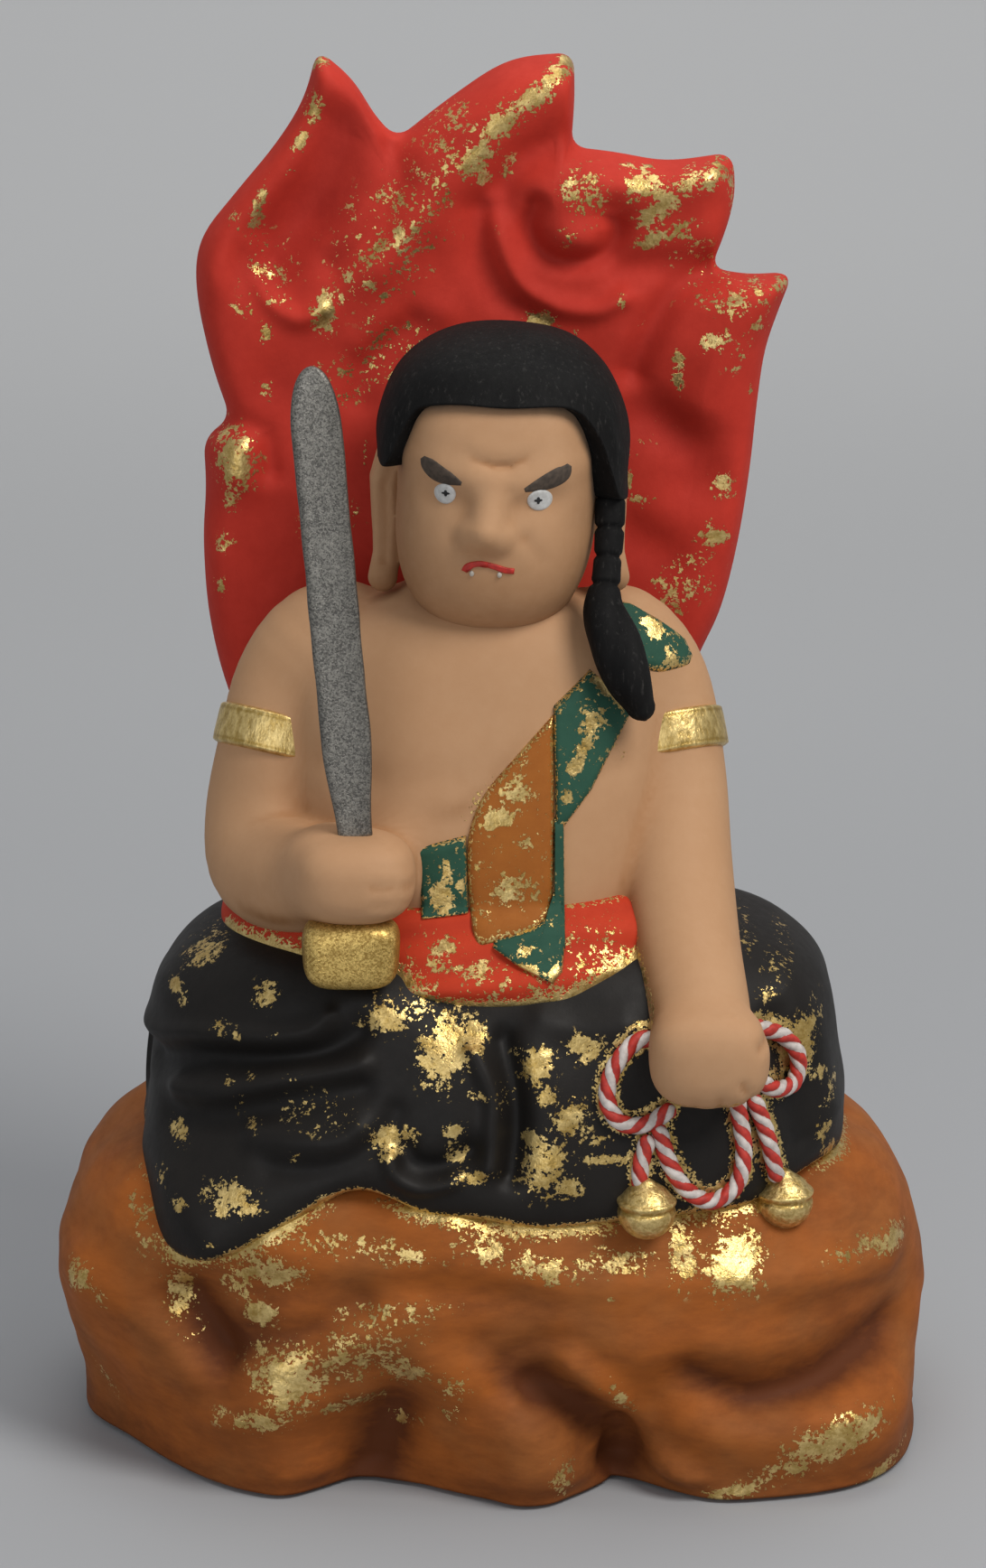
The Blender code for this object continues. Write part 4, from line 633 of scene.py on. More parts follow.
def glitter_metal(name, pale, deep, grain=0.34 * MM):
    """Metallic paint full of glitter: each grain takes its own brightness and tilt, over a slow mottle."""
    paint = Paint(name)
    spark = paint.grains(grain)
    fine = paint.grains(grain * 0.45)
    mottle = paint.noise(3.5 * MM, 4)
    # Each grain's own brightness over a slow mottle, made darker by the crease shade attribute: painted
    # shade along the blade's edges, and on the pommel its own brown rim.
    light = spark * 0.5 + fine * 0.3 + mottle * 0.35 - paint.attribute("crease") * 0.6
    swell = paint.bump(mottle, 0.3 * MM, 0.5)
    return paint.finish(
        Base_Color=paint.mix(light.step(0.2, 0.95), deep, pale),
        Roughness=0.34 + mottle * 0.2,
        Metallic=0.55 + spark * 0.35,
        Normal=paint.bump(spark * 0.6 + fine * 0.4, 0.12 * MM, 0.7, swell),
    )


def rope_paint():
    """White rope with red bands painted slantwise round it: the band attribute against a wavering edge.
    Painted shade darkens the grooves between its strands.
    """
    paint = Paint("rope_red_white")
    waver = (paint.noise(0.9 * MM, 3) - 0.5) * 0.9 + (paint.noise(4 * MM, 2) - 0.5) * 1.6
    stripe = (paint.attribute("band") + waver).step(-0.16, 0.04)
    white = paint.mix(paint.noise(2 * MM, 4).step(0.35, 0.7), (0.62, 0.56, 0.52), (0.42, 0.37, 0.34))
    red = paint.mix(paint.noise(1.2 * MM, 4).step(0.35, 0.7), (0.48, 0.028, 0.014), (0.33, 0.016, 0.01))
    # Painted shade: the grooves between the strands go dark brown.
    groove = paint.attribute("crease") * 0.35
    coat = paint.mix(groove, paint.mix(stripe, white, red), (0.1, 0.05, 0.03))
    dust = dust_mask(paint)
    return paint.finish(
        Base_Color=paint.mix(dust, coat, GOLD_PALE),
        Roughness=0.6,
        Metallic=dust * 0.8,
        Normal=paint.bump(paint.noise(0.6 * MM, 3), 0.1 * MM, 0.5),
    )


def plain_paint(name, colour, shade, roughness=0.5):
    """One coat with a faint brushed tone, for the painted features of the face."""
    paint = Paint(name)
    tone = paint.noise(0.8 * MM, 4).step(0.3, 0.7)
    return paint.finish(
        Base_Color=paint.mix(tone, colour, shade),
        Roughness=roughness,
        Normal=paint.bump(paint.noise(0.4 * MM, 2), 0.05 * MM, 0.5),
    )


# Each paint's shade is its darker tone: the brush's random tone and the painted shade in creases both go
# towards it.
RED = dict(colour=(0.5, 0.032, 0.017), shade=(0.33, 0.017, 0.01))
WAIST_RED = dict(colour=(0.5, 0.04, 0.011), shade=(0.34, 0.022, 0.008))
FLESH = dict(colour=(0.46, 0.262, 0.138), shade=(0.37, 0.185, 0.083))
BROWN = dict(colour=(0.35, 0.096, 0.013), shade=(0.105, 0.027, 0.006))
BLACK = dict(colour=(0.0108, 0.0087, 0.0071), shade=(0.0055, 0.0045, 0.0039))
GREEN = dict(colour=(0.022, 0.08, 0.05), shade=(0.01, 0.036, 0.025))
ORANGE = dict(colour=(0.33, 0.105, 0.014), shade=(0.2, 0.05, 0.008))
HAIR = dict(colour=(0.0075, 0.0072, 0.007), shade=(0.0035, 0.0034, 0.0034))
HAIR_SCUFF = (0.045, 0.042, 0.039)
ROCK_MOTTLE = (0.29, 0.1, 0.024)
# Flesh tints: ochre that is partly the figure's own tint and partly painted shade, and a grey wash along
# the hairline.
FLESH_TINTS = (("blush", (0.27, 0.125, 0.048)), ("wash", (0.13, 0.1, 0.075)))

HALO_PAINT = painted_clay("halo_vermilion", leaf=True, brush=0.4, **RED)
FLESH_PAINT = painted_clay(
    "flesh_paint", brush=0.25, roughness=0.68, bump=0.05 * MM, dust=True, tints=FLESH_TINTS, **FLESH
)
ROCK_PAINT = painted_clay(
    "rock_brown", leaf=True, dust=True, brush=0.5, streaks=(0.5, 0.5, 1.3), mottle=ROCK_MOTTLE, **BROWN
)
SKIRT_PAINT = painted_clay("skirt_black", leaf=True, dust=True, brush=0.5, roughness=0.56, **BLACK)
WAIST_PAINT = painted_clay("waist_red", leaf=True, dust=True, **WAIST_RED)
PANEL_PAINT = painted_clay("sash_orange", leaf=True, dust=True, **ORANGE)
GREEN_PAINT = painted_clay("sash_green", leaf=True, dust=True, **GREEN)
HAIR_PAINT = painted_clay(
    "hair_charcoal", brush=0.8, roughness=0.75, streaks=(1.6, 1.6, 0.35), bump=0.16 * MM, gloss=0.13,
    wear_and_shade=HAIR_SCUFF, **HAIR
)
GILT_PAINT = glitter_metal("gilt_glitter", (0.84, 0.6, 0.2), (0.3, 0.175, 0.032))
FOIL_PAINT = gold_foil("armlet_foil", 1.5 * MM, (1.3, 1.3, 0.4))
BELL_PAINT = gold_foil("bell_foil", 1.1 * MM)
BLADE_PAINT = glitter_metal("blade_silver", (0.31, 0.295, 0.26), (0.07, 0.066, 0.06), 0.26 * MM)
ROPE_PAINT = rope_paint()
EYE_WHITE = plain_paint("eye_white", (0.56, 0.56, 0.54), (0.44, 0.43, 0.41), 0.4)
PUPIL_INK = plain_paint("pupil_ink", (0.012, 0.012, 0.013), (0.006, 0.006, 0.006), 0.35)
BROW_WASH = plain_paint("brow_wash", (0.072, 0.05, 0.034), (0.036, 0.025, 0.017), 0.75)
LIP_RED = plain_paint("lip_red", (0.48, 0.02, 0.01), (0.34, 0.014, 0.008))
FANG_WHITE = plain_paint("fang_white", (0.5, 0.46, 0.4), (0.4, 0.36, 0.3), 0.4)


def dress(piece, material, slot, *nodes, body="statue"):
    """Gives a piece its finish as a material, hangs it on its body and hides the CAD nodes that it stands
    for.
    """
    piece.data.materials.append(material)
    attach(piece, body)
    if nodes:
        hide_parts(*nodes)


# Rock pedestal

# Plan of the foot on the ground: angle round the figure in degrees and reach in mm
ROCK_FOOT = (
    (-180, 73.5), (-169.5, 73), (-159, 68.5), (-149.5, 66.5), (-138, 65), (-130.5, 63.5), (-125, 61),
    (-122, 55), (-119.5, 49), (-116, 47), (-113, 46.5), (-106, 46.5), (-101, 47.5), (-91, 51),
    (-84.5, 54.5), (-79, 54.5), (-73.5, 52), (-65.5, 48.5), (-62.5, 47), (-59, 51), (-56, 58.5),
    (-52.5, 65), (-46, 70.5), (-37, 77.5), (-31, 80), (-25.5, 80.5), (-19, 79.5), (-8, 77.5), (0, 76.5),
    (30, 66), (60, 54), (90, 50), (120, 54), (150, 66), (180, 73.5),
)
ROCK_WALL = 8 * MM
ROCK_POWER = 2.5
ROCK_ROWS, ROCK_COLUMNS, HOLLOW_ROWS = 190, 400, 40
ROCK_SIDE_ROW = 60
# Where the skin that lies in front ends
FRONT_LIMIT = -10 * MM
HOLLOW_RISE, HOLLOW_SHARE, HOLLOW_DOME = 0.66, 0.97, 0.4
FOOT_STEPS, FOOT_RISE = 600, 0.6
# Depths between which the relief and the leaf on the front come in
ROCK_RELIEF_FADE, ROCK_LEAF_FADE = mm(-8, -30), mm(-12, -26)
ROCK_RELIEF_DEEP, VALLEY_DEEP = mm(3.4, 8)
# Size and rise in mm and seed of each random swell
ROCK_SWELLS = ((34, 0.6, 4), (11, 0.16, 5))
# Share of the plan's reach and of the rock's height
ROCK_PROFILE = (
    (0.945, 0), (0.97, 0.07), (0.985, 0.2), (1, 0.4), (0.99, 0.57), (0.96, 0.71), (0.905, 0.83),
    (0.82, 0.915), (0.68, 0.965), (0.45, 0.99), (0.16, 1),
)
# Angle at the rim and drift to the lip in degrees, depth in mm, half-width in degrees, low and high end
ROCK_VALLEYS = (
    (-117, 24, 7, 8, -0.8, 0.8), (-66, -30, 5, 8, -0.8, 0.9), (-136, 0, -3, 14, -0.8, 0.7),
    (-91, 0, -3, 16, -0.8, 0.7), (-43, 0, -4, 16, -0.8, 0.8), (-36, 6, 6, 13, 0.1, 0.75),
    (-146, 14, 4, 11, 0.3, 0.8), (168, -10, 6, 14, -0.5, 0.8), (112, 18, 7, 12, -0.5, 0.7),
    (62, -14, 6, 11, -0.5, 0.8), (14, 8, 5, 10, -0.5, 0.6),
)
# Lines of (x, z) in mm seen from the front, half-width and height in mm
ROCK_STROKES = (
    (((-33.5, 42.5), (-19.5, 43), (-7, 43), (2, 42), (14.5, 40),
      (27, 40), (39.5, 39.5), (55.5, 37.5), (69, 34.5)), 3, 1.1),
    (((-38, 36), (-25.5, 39), (-11.5, 39), (2, 37.5), (14.5, 35.5)), 4, -0.9),
    (((-52, 33.5), (-49, 28), (-47.5, 22.5), (-47, 17.5)), 4, -3.6),
    (((-47, 27), (-40, 28.5), (-32, 30), (-22.5, 36)), 3.6, -2.6),
    (((-69, 32.5), (-62.5, 30), (-55, 25.5), (-49.5, 19), (-47, 13.5)), 4.4, 1.8),
    (((-44.5, 16.5), (-35, 16), (-26, 19), (-16.5, 21), (-11, 25)), 4.6, 2),
    (((-33.5, 26), (-24, 29.5), (-15, 32.5)), 6.5, 1.6),
    (((-21, 0.5), (-18.5, 7.5), (-17, 13.5), (-15.5, 19.5)), 5, -2.8),
    (((-1, 28.5), (3.5, 24.5), (8.5, 21.5)), 4, -1.8),
    (((8, 21.5), (13, 18.5), (19, 13.5), (24, 9.5), (22.5, 3)), 4.2, -3),
    (((1.5, 21), (3, 26.5), (8.5, 29.5), (14, 29.5), (18, 27)), 2.6, -1),
    (((14.5, 25), (21.5, 19), (25.5, 14), (28.5, 8.5), (34.5, 3)), 3.2, 2.4),
    (((7, 13), (10, 7), (13, 1.5)), 6, 2.2),
    (((34.5, 23.5), (41, 20), (46, 18.5), (52, 19), (57.5, 20), (63, 21.5), (70.5, 23)), 4.2, -3.8),
    (((27, 27), (38, 27), (47.5, 26), (56.5, 26.5)), 5, 1.6),
    (((45.5, 32.5), (55.5, 32.5)), 9, 1.2),
    (((35, 14), (44.5, 11.5), (55.5, 11.5), (68.5, 11)), 5.5, 2.4),
    (((-4, 19), (-1, 11), (2, 5.5)), 7, 1.4),
    (((-74.5, 33), (-72.5, 32.5)), 5, 1.6),
    (((75.5, 35.5), (71, 39)), 5, 1.4),
    (((-38.5, 8.5), (-34, 2)), 8, 1.2),
    (((-38, 46.5), (-29, 51), (-18, 51), (-8, 48.5)), 5, 3),
)
# Place, two radii in mm, lean in degrees and strength of each patch of leaf
ROCK_LEAF = (
    (-54.5, 34.5, 2.5, 5, 0, 0.8), (-59, 46.5, 4, 6.5, 0, 0.4), (-38, 41, 5.5, 3, 0, 0.85),
    (-40, 33, 3, 2, 0, 0.85), (-44, 39, 3, 3.5, 0, 0.6), (-35, 22.5, 6, 5.5, 30, 0.9),
    (-25, 26, 11, 4.5, 20, 0.6), (-15.5, 24, 4.5, 3, 0, 0.75), (-18, 34.5, 10, 2, 8, 0.5),
    (-41, 14.5, 6, 2, 4, 0.8), (-25, 16.5, 6.5, 1.5, 10, 0.6), (-22.5, 46, 13.5, 2, -4, 0.55),
    (-1, 47, 5.5, 3, 0, 0.6), (-72.5, 33.5, 2, 2.5, -20, 0.8), (-68.5, 30.5, 1, 2, 0, 0.6),
    (-69.5, 10, 1.5, 5, 35, 0.5), (-7, 16.5, 2, 1.5, 0, 0.55), (-7, 22.5, 4, 3, 0, 0.4),
    (8.5, 43, 6.5, 2, -8, 0.75), (20.5, 43.5, 6.5, 2, 0, 0.7), (32.5, 44, 2.5, 4.5, 0, 0.95),
    (41.5, 42, 4.5, 5, 0, 0.95), (38, 41.5, 3, 1, 0, 0.8), (3.5, 49, 5, 1.5, 0, 0.55),
    (14.5, 49, 5, 1.5, 0, 0.6), (71.5, 39, 5, 2, 0, 0.75), (64.5, 40, 6.5, 2, 0, 0.5),
    (59.5, 10.5, 8, 3, 12, 1), (55.5, 7, 6.5, 2.5, 25, 0.6), (49, 5, 6, 2, 25, 0.55),
    (42.5, 1.5, 6, 1.5, 10, 0.75), (68.5, 1, 5, 1.5, 25, 0.6), (21.5, 19.5, 1.5, 4, 35, 0.7),
    (12, 5, 2, 3.5, 0, 0.6), (20, 37.5, 1, 0.5, 0, 0.5), (-15, 12.5, 3, 1.5, 10, 0.4),
    (-52.5, 27.5, 2.5, 2, 0, 0.35),
)


def valley_depth(degrees, height):
    """How far the rock's face falls back in its valleys, as the frame's solid does."""
    fall = 0 * degrees * height
    for start, drift, depth, half_width, low, high in ROCK_VALLEYS:
        across = turned_from(degrees, start + drift * height) / half_width
        middle, reach = (low + high) / 2, (high - low) / 2
        fall += depth * MM * bell(across) * smoothstep(1.0, 0.0, np.abs(height - middle) / reach)
    return fall


def rock_reach(angle, share, height):
    """Reach from the middle: the foot's plan at the ground passes into the profiled, valleyed plan
    above."""
    degrees = np.degrees(angle)
    foot = np.interp(degrees, *spline(ROCK_FOOT, FOOT_STEPS).T) * MM
    plan = superellipse(angle, *ROCK_HALF, ROCK_POWER) - valley_depth(degrees, height)
    rise = smoothstep(0, FOOT_RISE, height)
    return foot * (1 - rise) + plan * share * rise


def fit_rock(points, hollow):
    """Moves and stretches the rock and its hollow sideways and in depth, to fill the frame's box."""
    outer = points[..., :2].reshape(-1, 2)
    low, high = outer.min(axis=0), outer.max(axis=0)
    middle = np.append((low + high) / 2, 0)
    stretch = np.append(2 * ROCK_HALF / (high - low), 1)
    return (points - middle) * stretch, (hollow - middle) * stretch


def make_rock(hem):
    """Outer rows from the ground over the lip, relief along their normals, and a dome hollowed from
    below. Returns the points of its front."""
    profile = spline(ROCK_PROFILE, ROCK_ROWS)
    share, height = profile[:, :1], np.clip(profile[:, 1:], 0, 1)
    angle = circle(ROCK_COLUMNS, -math.pi)[None]
    points = around(angle, rock_reach(angle, share, height), height * ROCK_TOP)
    arch = np.linspace(1, 0, HOLLOW_ROWS)[:, None] * math.pi / 2
    depth = np.sin(arch) * HOLLOW_RISE
    inner = rock_reach(angle, HOLLOW_SHARE, depth) - ROCK_WALL
    inner = inner * np.maximum(np.cos(arch), 0.01) ** HOLLOW_DOME
    points, hollow = fit_rock(points, around(angle, inner, depth * ROCK_TOP))
    x, y, z = np.moveaxis(points, -1, 0)
    front = smoothstep(*ROCK_RELIEF_FADE, y)
    relief = strokes(x, z, ROCK_STROKES) * front
    proud = (relief + swells(points, ROCK_SWELLS)) * smoothstep(0, 4 * MM, z)
    points = points + grid_normals(points, ROCK_SIDE_ROW) * proud[..., None]
    points, hollow = fit_rock(points, hollow)
    x, y, z = np.moveaxis(points, -1, 0)
    fall = valley_depth(np.degrees(angle), height)
    # Painted shade: darker in the relief's hollows and the valleys, and near the ground.
    crease = part_of(-relief, ROCK_RELIEF_DEEP) * 0.8 + part_of(fall, VALLEY_DEEP) * 0.4
    crease = crease + smoothstep(8 * MM, 0, z) * 0.35
    leaf = patches(x, z, ROCK_LEAF) * smoothstep(*ROCK_LEAF_FADE, y)
    leaf = np.maximum(leaf, stray_leaf(points, 40 * MM, 0.36, 0.7, 9) * (1 - front))
    dust = bell(nearest(points.reshape(-1, 3), hem) / (2.2 * MM)).reshape(crease.shape)
    bare = np.zeros(hollow.shape[:2])
    # The hollow underneath is given painted shade all over.
    rock = add_shell(
        "rock_pedestal", np.concatenate([hollow, points]), crease=np.concatenate([bare + 0.6, crease]),
        leaf=np.concatenate([bare, leaf]), dust=np.concatenate([bare, dust]),
    )
    dress(rock, ROCK_PAINT, "clay_orange", "rock_base")
    return points[y < FRONT_LIMIT]


# Lasso's route seen from the front, sideways place and height above the lap in mm

ROPE_RADIUS = 1.55 * MM
ROPE_LAY = 4.4 * MM
LASSO_POINTS = {
    "lasso_left_loop": (
        (28.2, -11.5), (24.4, -11.8), (20.6, -16), (19.4, -21), (21.6, -25), (26, -25.6), (29.8, -23.6),
    ),
    "lasso_hanging_loop": (
        (28.4, -27), (30, -32), (33, -37), (37.4, -39.6), (41.6, -37.4), (43, -32), (42.2, -25.5),
        (41.6, -22),
    ),
    "lasso_right_loop": ((46, -12), (50.4, -14.6), (52.8, -18.4), (52, -22.6), (48.6, -22.6), (45.4, -20)),
    "lasso_left_tail": ((26.2, -28.6), (25.2, -32), (25, -35)),
    "lasso_right_tail": ((45, -24), (47, -29.5), (48.8, -37)),
}
LASSO = {node: mm(*points) + (0, LAP) for node, points in LASSO_POINTS.items()}


# Skirt

SKIRT_HALF = (high_of("skirt") - low_of("skirt"))[0] / 2
SKIRT_FRONT, SKIRT_BACK = 47 * MM, 27 * MM
SKIRT_TOP = LAP + 2 * MM
SKIRT_POWER = 2.7
SKIRT_ROWS, SKIRT_COLUMNS = 170, 480
SKIRT_SIDE_ROW, HEM_ROW, HEM_STEPS = 40, 6, 200
SKIRT_FOLD_FADE, SKIRT_LEAF_FADE = mm(4, -14), mm(8, -6)
SKIRT_FOLD_DEEP, BACK_WAVE = mm(2.3, 0.7)
SKIRT_SWELL, SKIRT_SWELL_SIZE = mm(0.3, 22)
# Share of the height, of the sideways reach and of the forward reach
SKIRT_PROFILE = (
    (0, 0.93, 0.94), (0.02, 0.985, 0.985), (0.12, 1, 1), (0.34, 0.985, 0.96), (0.56, 0.97, 0.9),
    (0.74, 0.93, 0.82), (0.87, 0.85, 0.74), (0.95, 0.73, 0.62), (1, 0.5, 0.42), (1.02, 0.15, 0.12),
)
# Angle and half-width in degrees and reach in mm of the corner that hangs out
HEM_CORNER = (-140, 15, 8)
# Drop of the hem below the rock's top in mm, by angle in degrees
HEM_DROP = (
    (-180, 9), (-160, 12), (-139, 16), (-119, 2), (-104, 6), (-92, 6.5), (-78, 8.5), (-60, 7), (-42, 7),
    (-24, 4), (0, 7), (60, 6), (120, 6), (180, 9),
)
SKIRT_STROKES = (
    (((-60, 74), (-52.5, 77.5), (-45, 79), (-36.5, 80), (-31, 81.5), (-28, 84)), 1.7, 1.7),
    (((-60.5, 69.5), (-51, 74.5), (-39.5, 76.5), (-30, 78.5), (-23, 82.5)), 2.6, -2.5),
    (((-54.5, 68), (-47, 69.5), (-41.5, 71.5), (-33.5, 74.5), (-22.5, 77)), 2.2, 1.8),
    (((-56, 63.5), (-46, 66), (-35, 70), (-22.5, 73.5)), 2.6, -1.3),
    (((-40.5, 64), (-33, 64), (-26, 64.5), (-23, 66.5)), 2.6, 1.7),
    (((-38, 59.5), (-28.5, 60.5), (-19.5, 65), (-16.5, 69.5)), 2.2, -1.2),
    (((-17.5, 62), (-16.5, 59), (-12.5, 57), (-7, 58)), 1.5, 1.7),
    (((-15, 63.5), (-13, 61), (-8.5, 60.5), (-4, 63)), 2.4, -2),
    (((-3, 78.5), (0, 72), (0, 67), (-0.5, 60.5)), 2, 2.2),
    (((2, 81), (3.5, 74), (4, 66.5), (3, 59)), 2.2, -2.5),
    (((7, 79), (9, 71), (10, 60.5)), 5, 1.6),
    (((8.5, 84), (14.5, 82.5), (22, 83)), 2.4, 1),
    (((-21, 86.5), (-14, 82.5), (-8.5, 75.5), (-6.5, 68.5)), 5, 1.4),
    (((-55.5, 54), (-49, 45.5), (-48.5, 39.5)), 4, 1.2),
    (((51, 85.5), (56.5, 75.5), (58.5, 62)), 3, 1.2),
    (((48, 81), (52, 71), (54, 60)), 2.6, -1.4),
    (((-57.5, 82), (-48, 87.5), (-36.5, 88)), 5, 1),
)
SKIRT_LEAF = (
    (-55, 84, 1.5, 1, 0, 0.85), (-54, 83, 1, 1.5, 0, 0.6), (-39, 86.5, 2, 2, 0, 0.9),
    (-47, 80.5, 1.5, 1, 0, 0.8), (-44, 80, 1, 1, 0, 0.65), (-38, 81, 1, 0.5, 0, 0.45),
    (-18, 85, 4, 2.5, 15, 0.95), (-20, 86.5, 1, 2, 0, 0.6), (-12.5, 86, 1.5, 1.5, 0, 0.7),
    (-8, 80, 4, 6, -20, 0.95), (-3, 82, 2, 2.5, 0, 0.95), (-3, 72.5, 2, 1, 0, 0.85),
    (-45.5, 72, 1, 0.5, 0, 0.6), (-34.5, 74.5, 1.5, 0.5, 0, 0.7), (-41.5, 73.5, 0.5, 0.5, 0, 0.5),
    (-43.5, 68.5, 1, 2, 0, 0.4), (-41, 65.5, 1, 1, 0, 0.6), (-54.5, 61, 1.5, 1.5, 0, 0.75),
    (-18, 64.5, 2.5, 3, 0, 0.9), (-14.5, 66, 2, 1.5, -30, 0.85), (-6.5, 67, 2, 1.5, 0, 0.7),
    (-6, 62.5, 1.5, 2.5, 0, 0.85), (-4, 58.5, 4, 1.5, 8, 0.6), (-45, 54, 4, 2.5, 0, 0.9),
    (-40.5, 52.5, 1.5, 1, 0, 0.8), (-46.5, 51.5, 1.5, 1, 0, 0.8), (-54, 51.5, 1.5, 1, 0, 0.7),
    (-57.5, 54.5, 1, 1.5, 0, 0.5), (-34, 61.5, 1, 1, 0, 0.5), (7.5, 77.5, 3, 3, 0, 0.9),
    (9, 72, 1.5, 2, 0, 0.8), (13, 68, 3, 3.5, 0, 0.9), (18.5, 64.5, 2, 1, 0, 0.6),
    (15, 80.5, 3, 2, 0, 0.85), (16.5, 78.5, 2.5, 1, 15, 0.8), (9, 60.5, 3.5, 5, -25, 0.95),
    (6.5, 65, 1.5, 1.5, 0, 0.8), (12.5, 57, 2.5, 2, 0, 0.9), (19, 61.5, 4.5, 1, -4, 0.9),
    (-48.5, 46, 1, 1, 0, 0.5), (53, 76.5, 2.5, 5, -30, 0.9), (56.5, 70, 1.5, 1.5, 0, 0.6),
    (59, 55, 1.5, 1.5, 0, 0.85), (58, 64.5, 1, 1, 0, 0.5), (56.5, 50, 1, 1, 0, 0.45),
    (47.5, 85, 1, 1, 0, 0.4), (-50.5, 89.5, 4, 1, 32, 0.65), (-30, 69, 6.5, 3, 0, 0.3),
    (2, 72, 2, 3, 0, 0.3), (49, 88, 2.5, 3.5, -50, 0.35), (46, 80.5, 1.5, 3, -20, 0.5),
    (57.5, 60, 1.5, 2, 0, 0.8), (59.5, 67, 1, 2, 0, 0.55), (44.5, 92, 1.5, 1, -30, 0.4),
)


def skirt_grid():
    """The cloth's profile, with a forward and a sideways reach, over an outline with one hanging corner."""
    profile = spline(SKIRT_PROFILE, SKIRT_ROWS)
    height, side_share, front_share = (profile[:, k: k + 1] for k in range(3))
    angle = circle(SKIRT_COLUMNS, -math.pi)[None]
    degrees = np.degrees(angle)
    depth = np.where(np.sin(angle) < 0, SKIRT_FRONT, SKIRT_BACK)
    share = side_share + (front_share - side_share) * np.sin(angle) ** 2
    corner, half_width, out = HEM_CORNER
    drape = smoothstep(0.55, 0.05, height) * smoothstep(-0.05, 0.03, height)
    hang = out * MM * bell(turned_from(degrees, corner) / half_width) * drape
    reach = share * superellipse(angle, SKIRT_HALF, depth, SKIRT_POWER) + hang
    base = ROCK_TOP - np.interp(degrees, *spline(HEM_DROP, HEM_STEPS).T) * MM
    return around(angle, reach, base + (SKIRT_TOP - base) * height), degrees, height


def make_skirt():
    """The draped grid with folds along its normals: strokes of relief in front, slow waves round the
    back. Returns the hem and the points of the front."""
    points, degrees, height = skirt_grid()
    x, y, z = np.moveaxis(points, -1, 0)
    front = smoothstep(*SKIRT_FOLD_FADE, y)
    inside = smoothstep(0.99, 0.9, height) * smoothstep(0.0, 0.05, height)
    fold = strokes(x, z, SKIRT_STROKES) * front * inside
    waves = np.sin(degrees / 7.5 + 9 * height) * BACK_WAVE * (1 - front) * smoothstep(0.9, 0.3, height)
    swell = wander(points, SKIRT_SWELL_SIZE, SKIRT_SWELL, 12) * smoothstep(0.98, 0.8, height)
    proud = fold + waves + swell
    points = points + grid_normals(points, SKIRT_SIDE_ROW) * proud[..., None]
    # Painted shade in the hollows of the folds.
    crease = part_of(-fold, SKIRT_FOLD_DEEP) * 0.7
    leaf = patches(points[..., 0], points[..., 2], SKIRT_LEAF) * smoothstep(*SKIRT_LEAF_FADE, y)
    leaf = np.maximum(leaf, stray_leaf(points, 26 * MM, 0.42, 0.7, 3) * (1 - front))
    rope = np.concatenate([spline(route, 60) for route in LASSO.values()])
    gap = nearest(np.stack([x, z], axis=-1).reshape(-1, 2), rope).reshape(x.shape)
    dust = bell((gap - ROPE_RADIUS) / (0.9 * MM)) * 0.8 * front
    dust = np.maximum(dust, bell((height - 0.012) / 0.022) * 0.95)
    skirt = add_shell("draped_skirt", points, crease=crease, leaf=leaf, dust=dust)
    dress(skirt, SKIRT_PAINT, "clay_black", "skirt")
    return points[HEM_ROW], points[points[..., 1] < FRONT_LIMIT]


# Flame halo

HALO_RISE = 112 * MM
HALO_FRONT = 24.5 * MM
HALO_HALF = 7.5 * MM
HALO_CENTRE = mm(-3, 62)
HALO_COLUMNS, HALO_EDGE_ROWS, HALO_FACE_ROWS = 620, 60, 90
HALO_RELIEF, HALO_RELIEF_DEEP = 0.8, 3.4 * MM
HALO_SWELLS = ((30, 0.35, 21), (9, 0.1, 22))
FLAME = mm(
    (-31, 128.5), (-33.5, 120), (-38.5, 112), (-46, 103), (-52, 95), (-53, 86), (-50.6, 73),
    (-47.3, 62.6), (-52.3, 59), (-52, 50), (-52.6, 40), (-51.6, 25), (-47.5, 9), (-38, -12), (-30, -36),
    (-29, -72), (23, -72), (24, -36), (30, -8), (36.5, 15.5), (41.4, 27), (44.5, 40), (46.5, 54),
    (47.5, 65), (48.8, 75), (51, 82), (53.6, 89), (46, 88.6), (38.8, 89.8), (41.4, 96.5), (43, 103.5),
    (42.4, 110.4), (31, 109), (22, 110.4), (13.8, 111.4), (14.4, 120), (14.2, 128), (3, 126.6),
    (-7, 120.5), (-17, 112.8), (-21, 117), (-25, 123.4),
)
FLAME_CORNERS = (0, 7, 8, 15, 16, 26, 28, 31, 34, 36, 39)
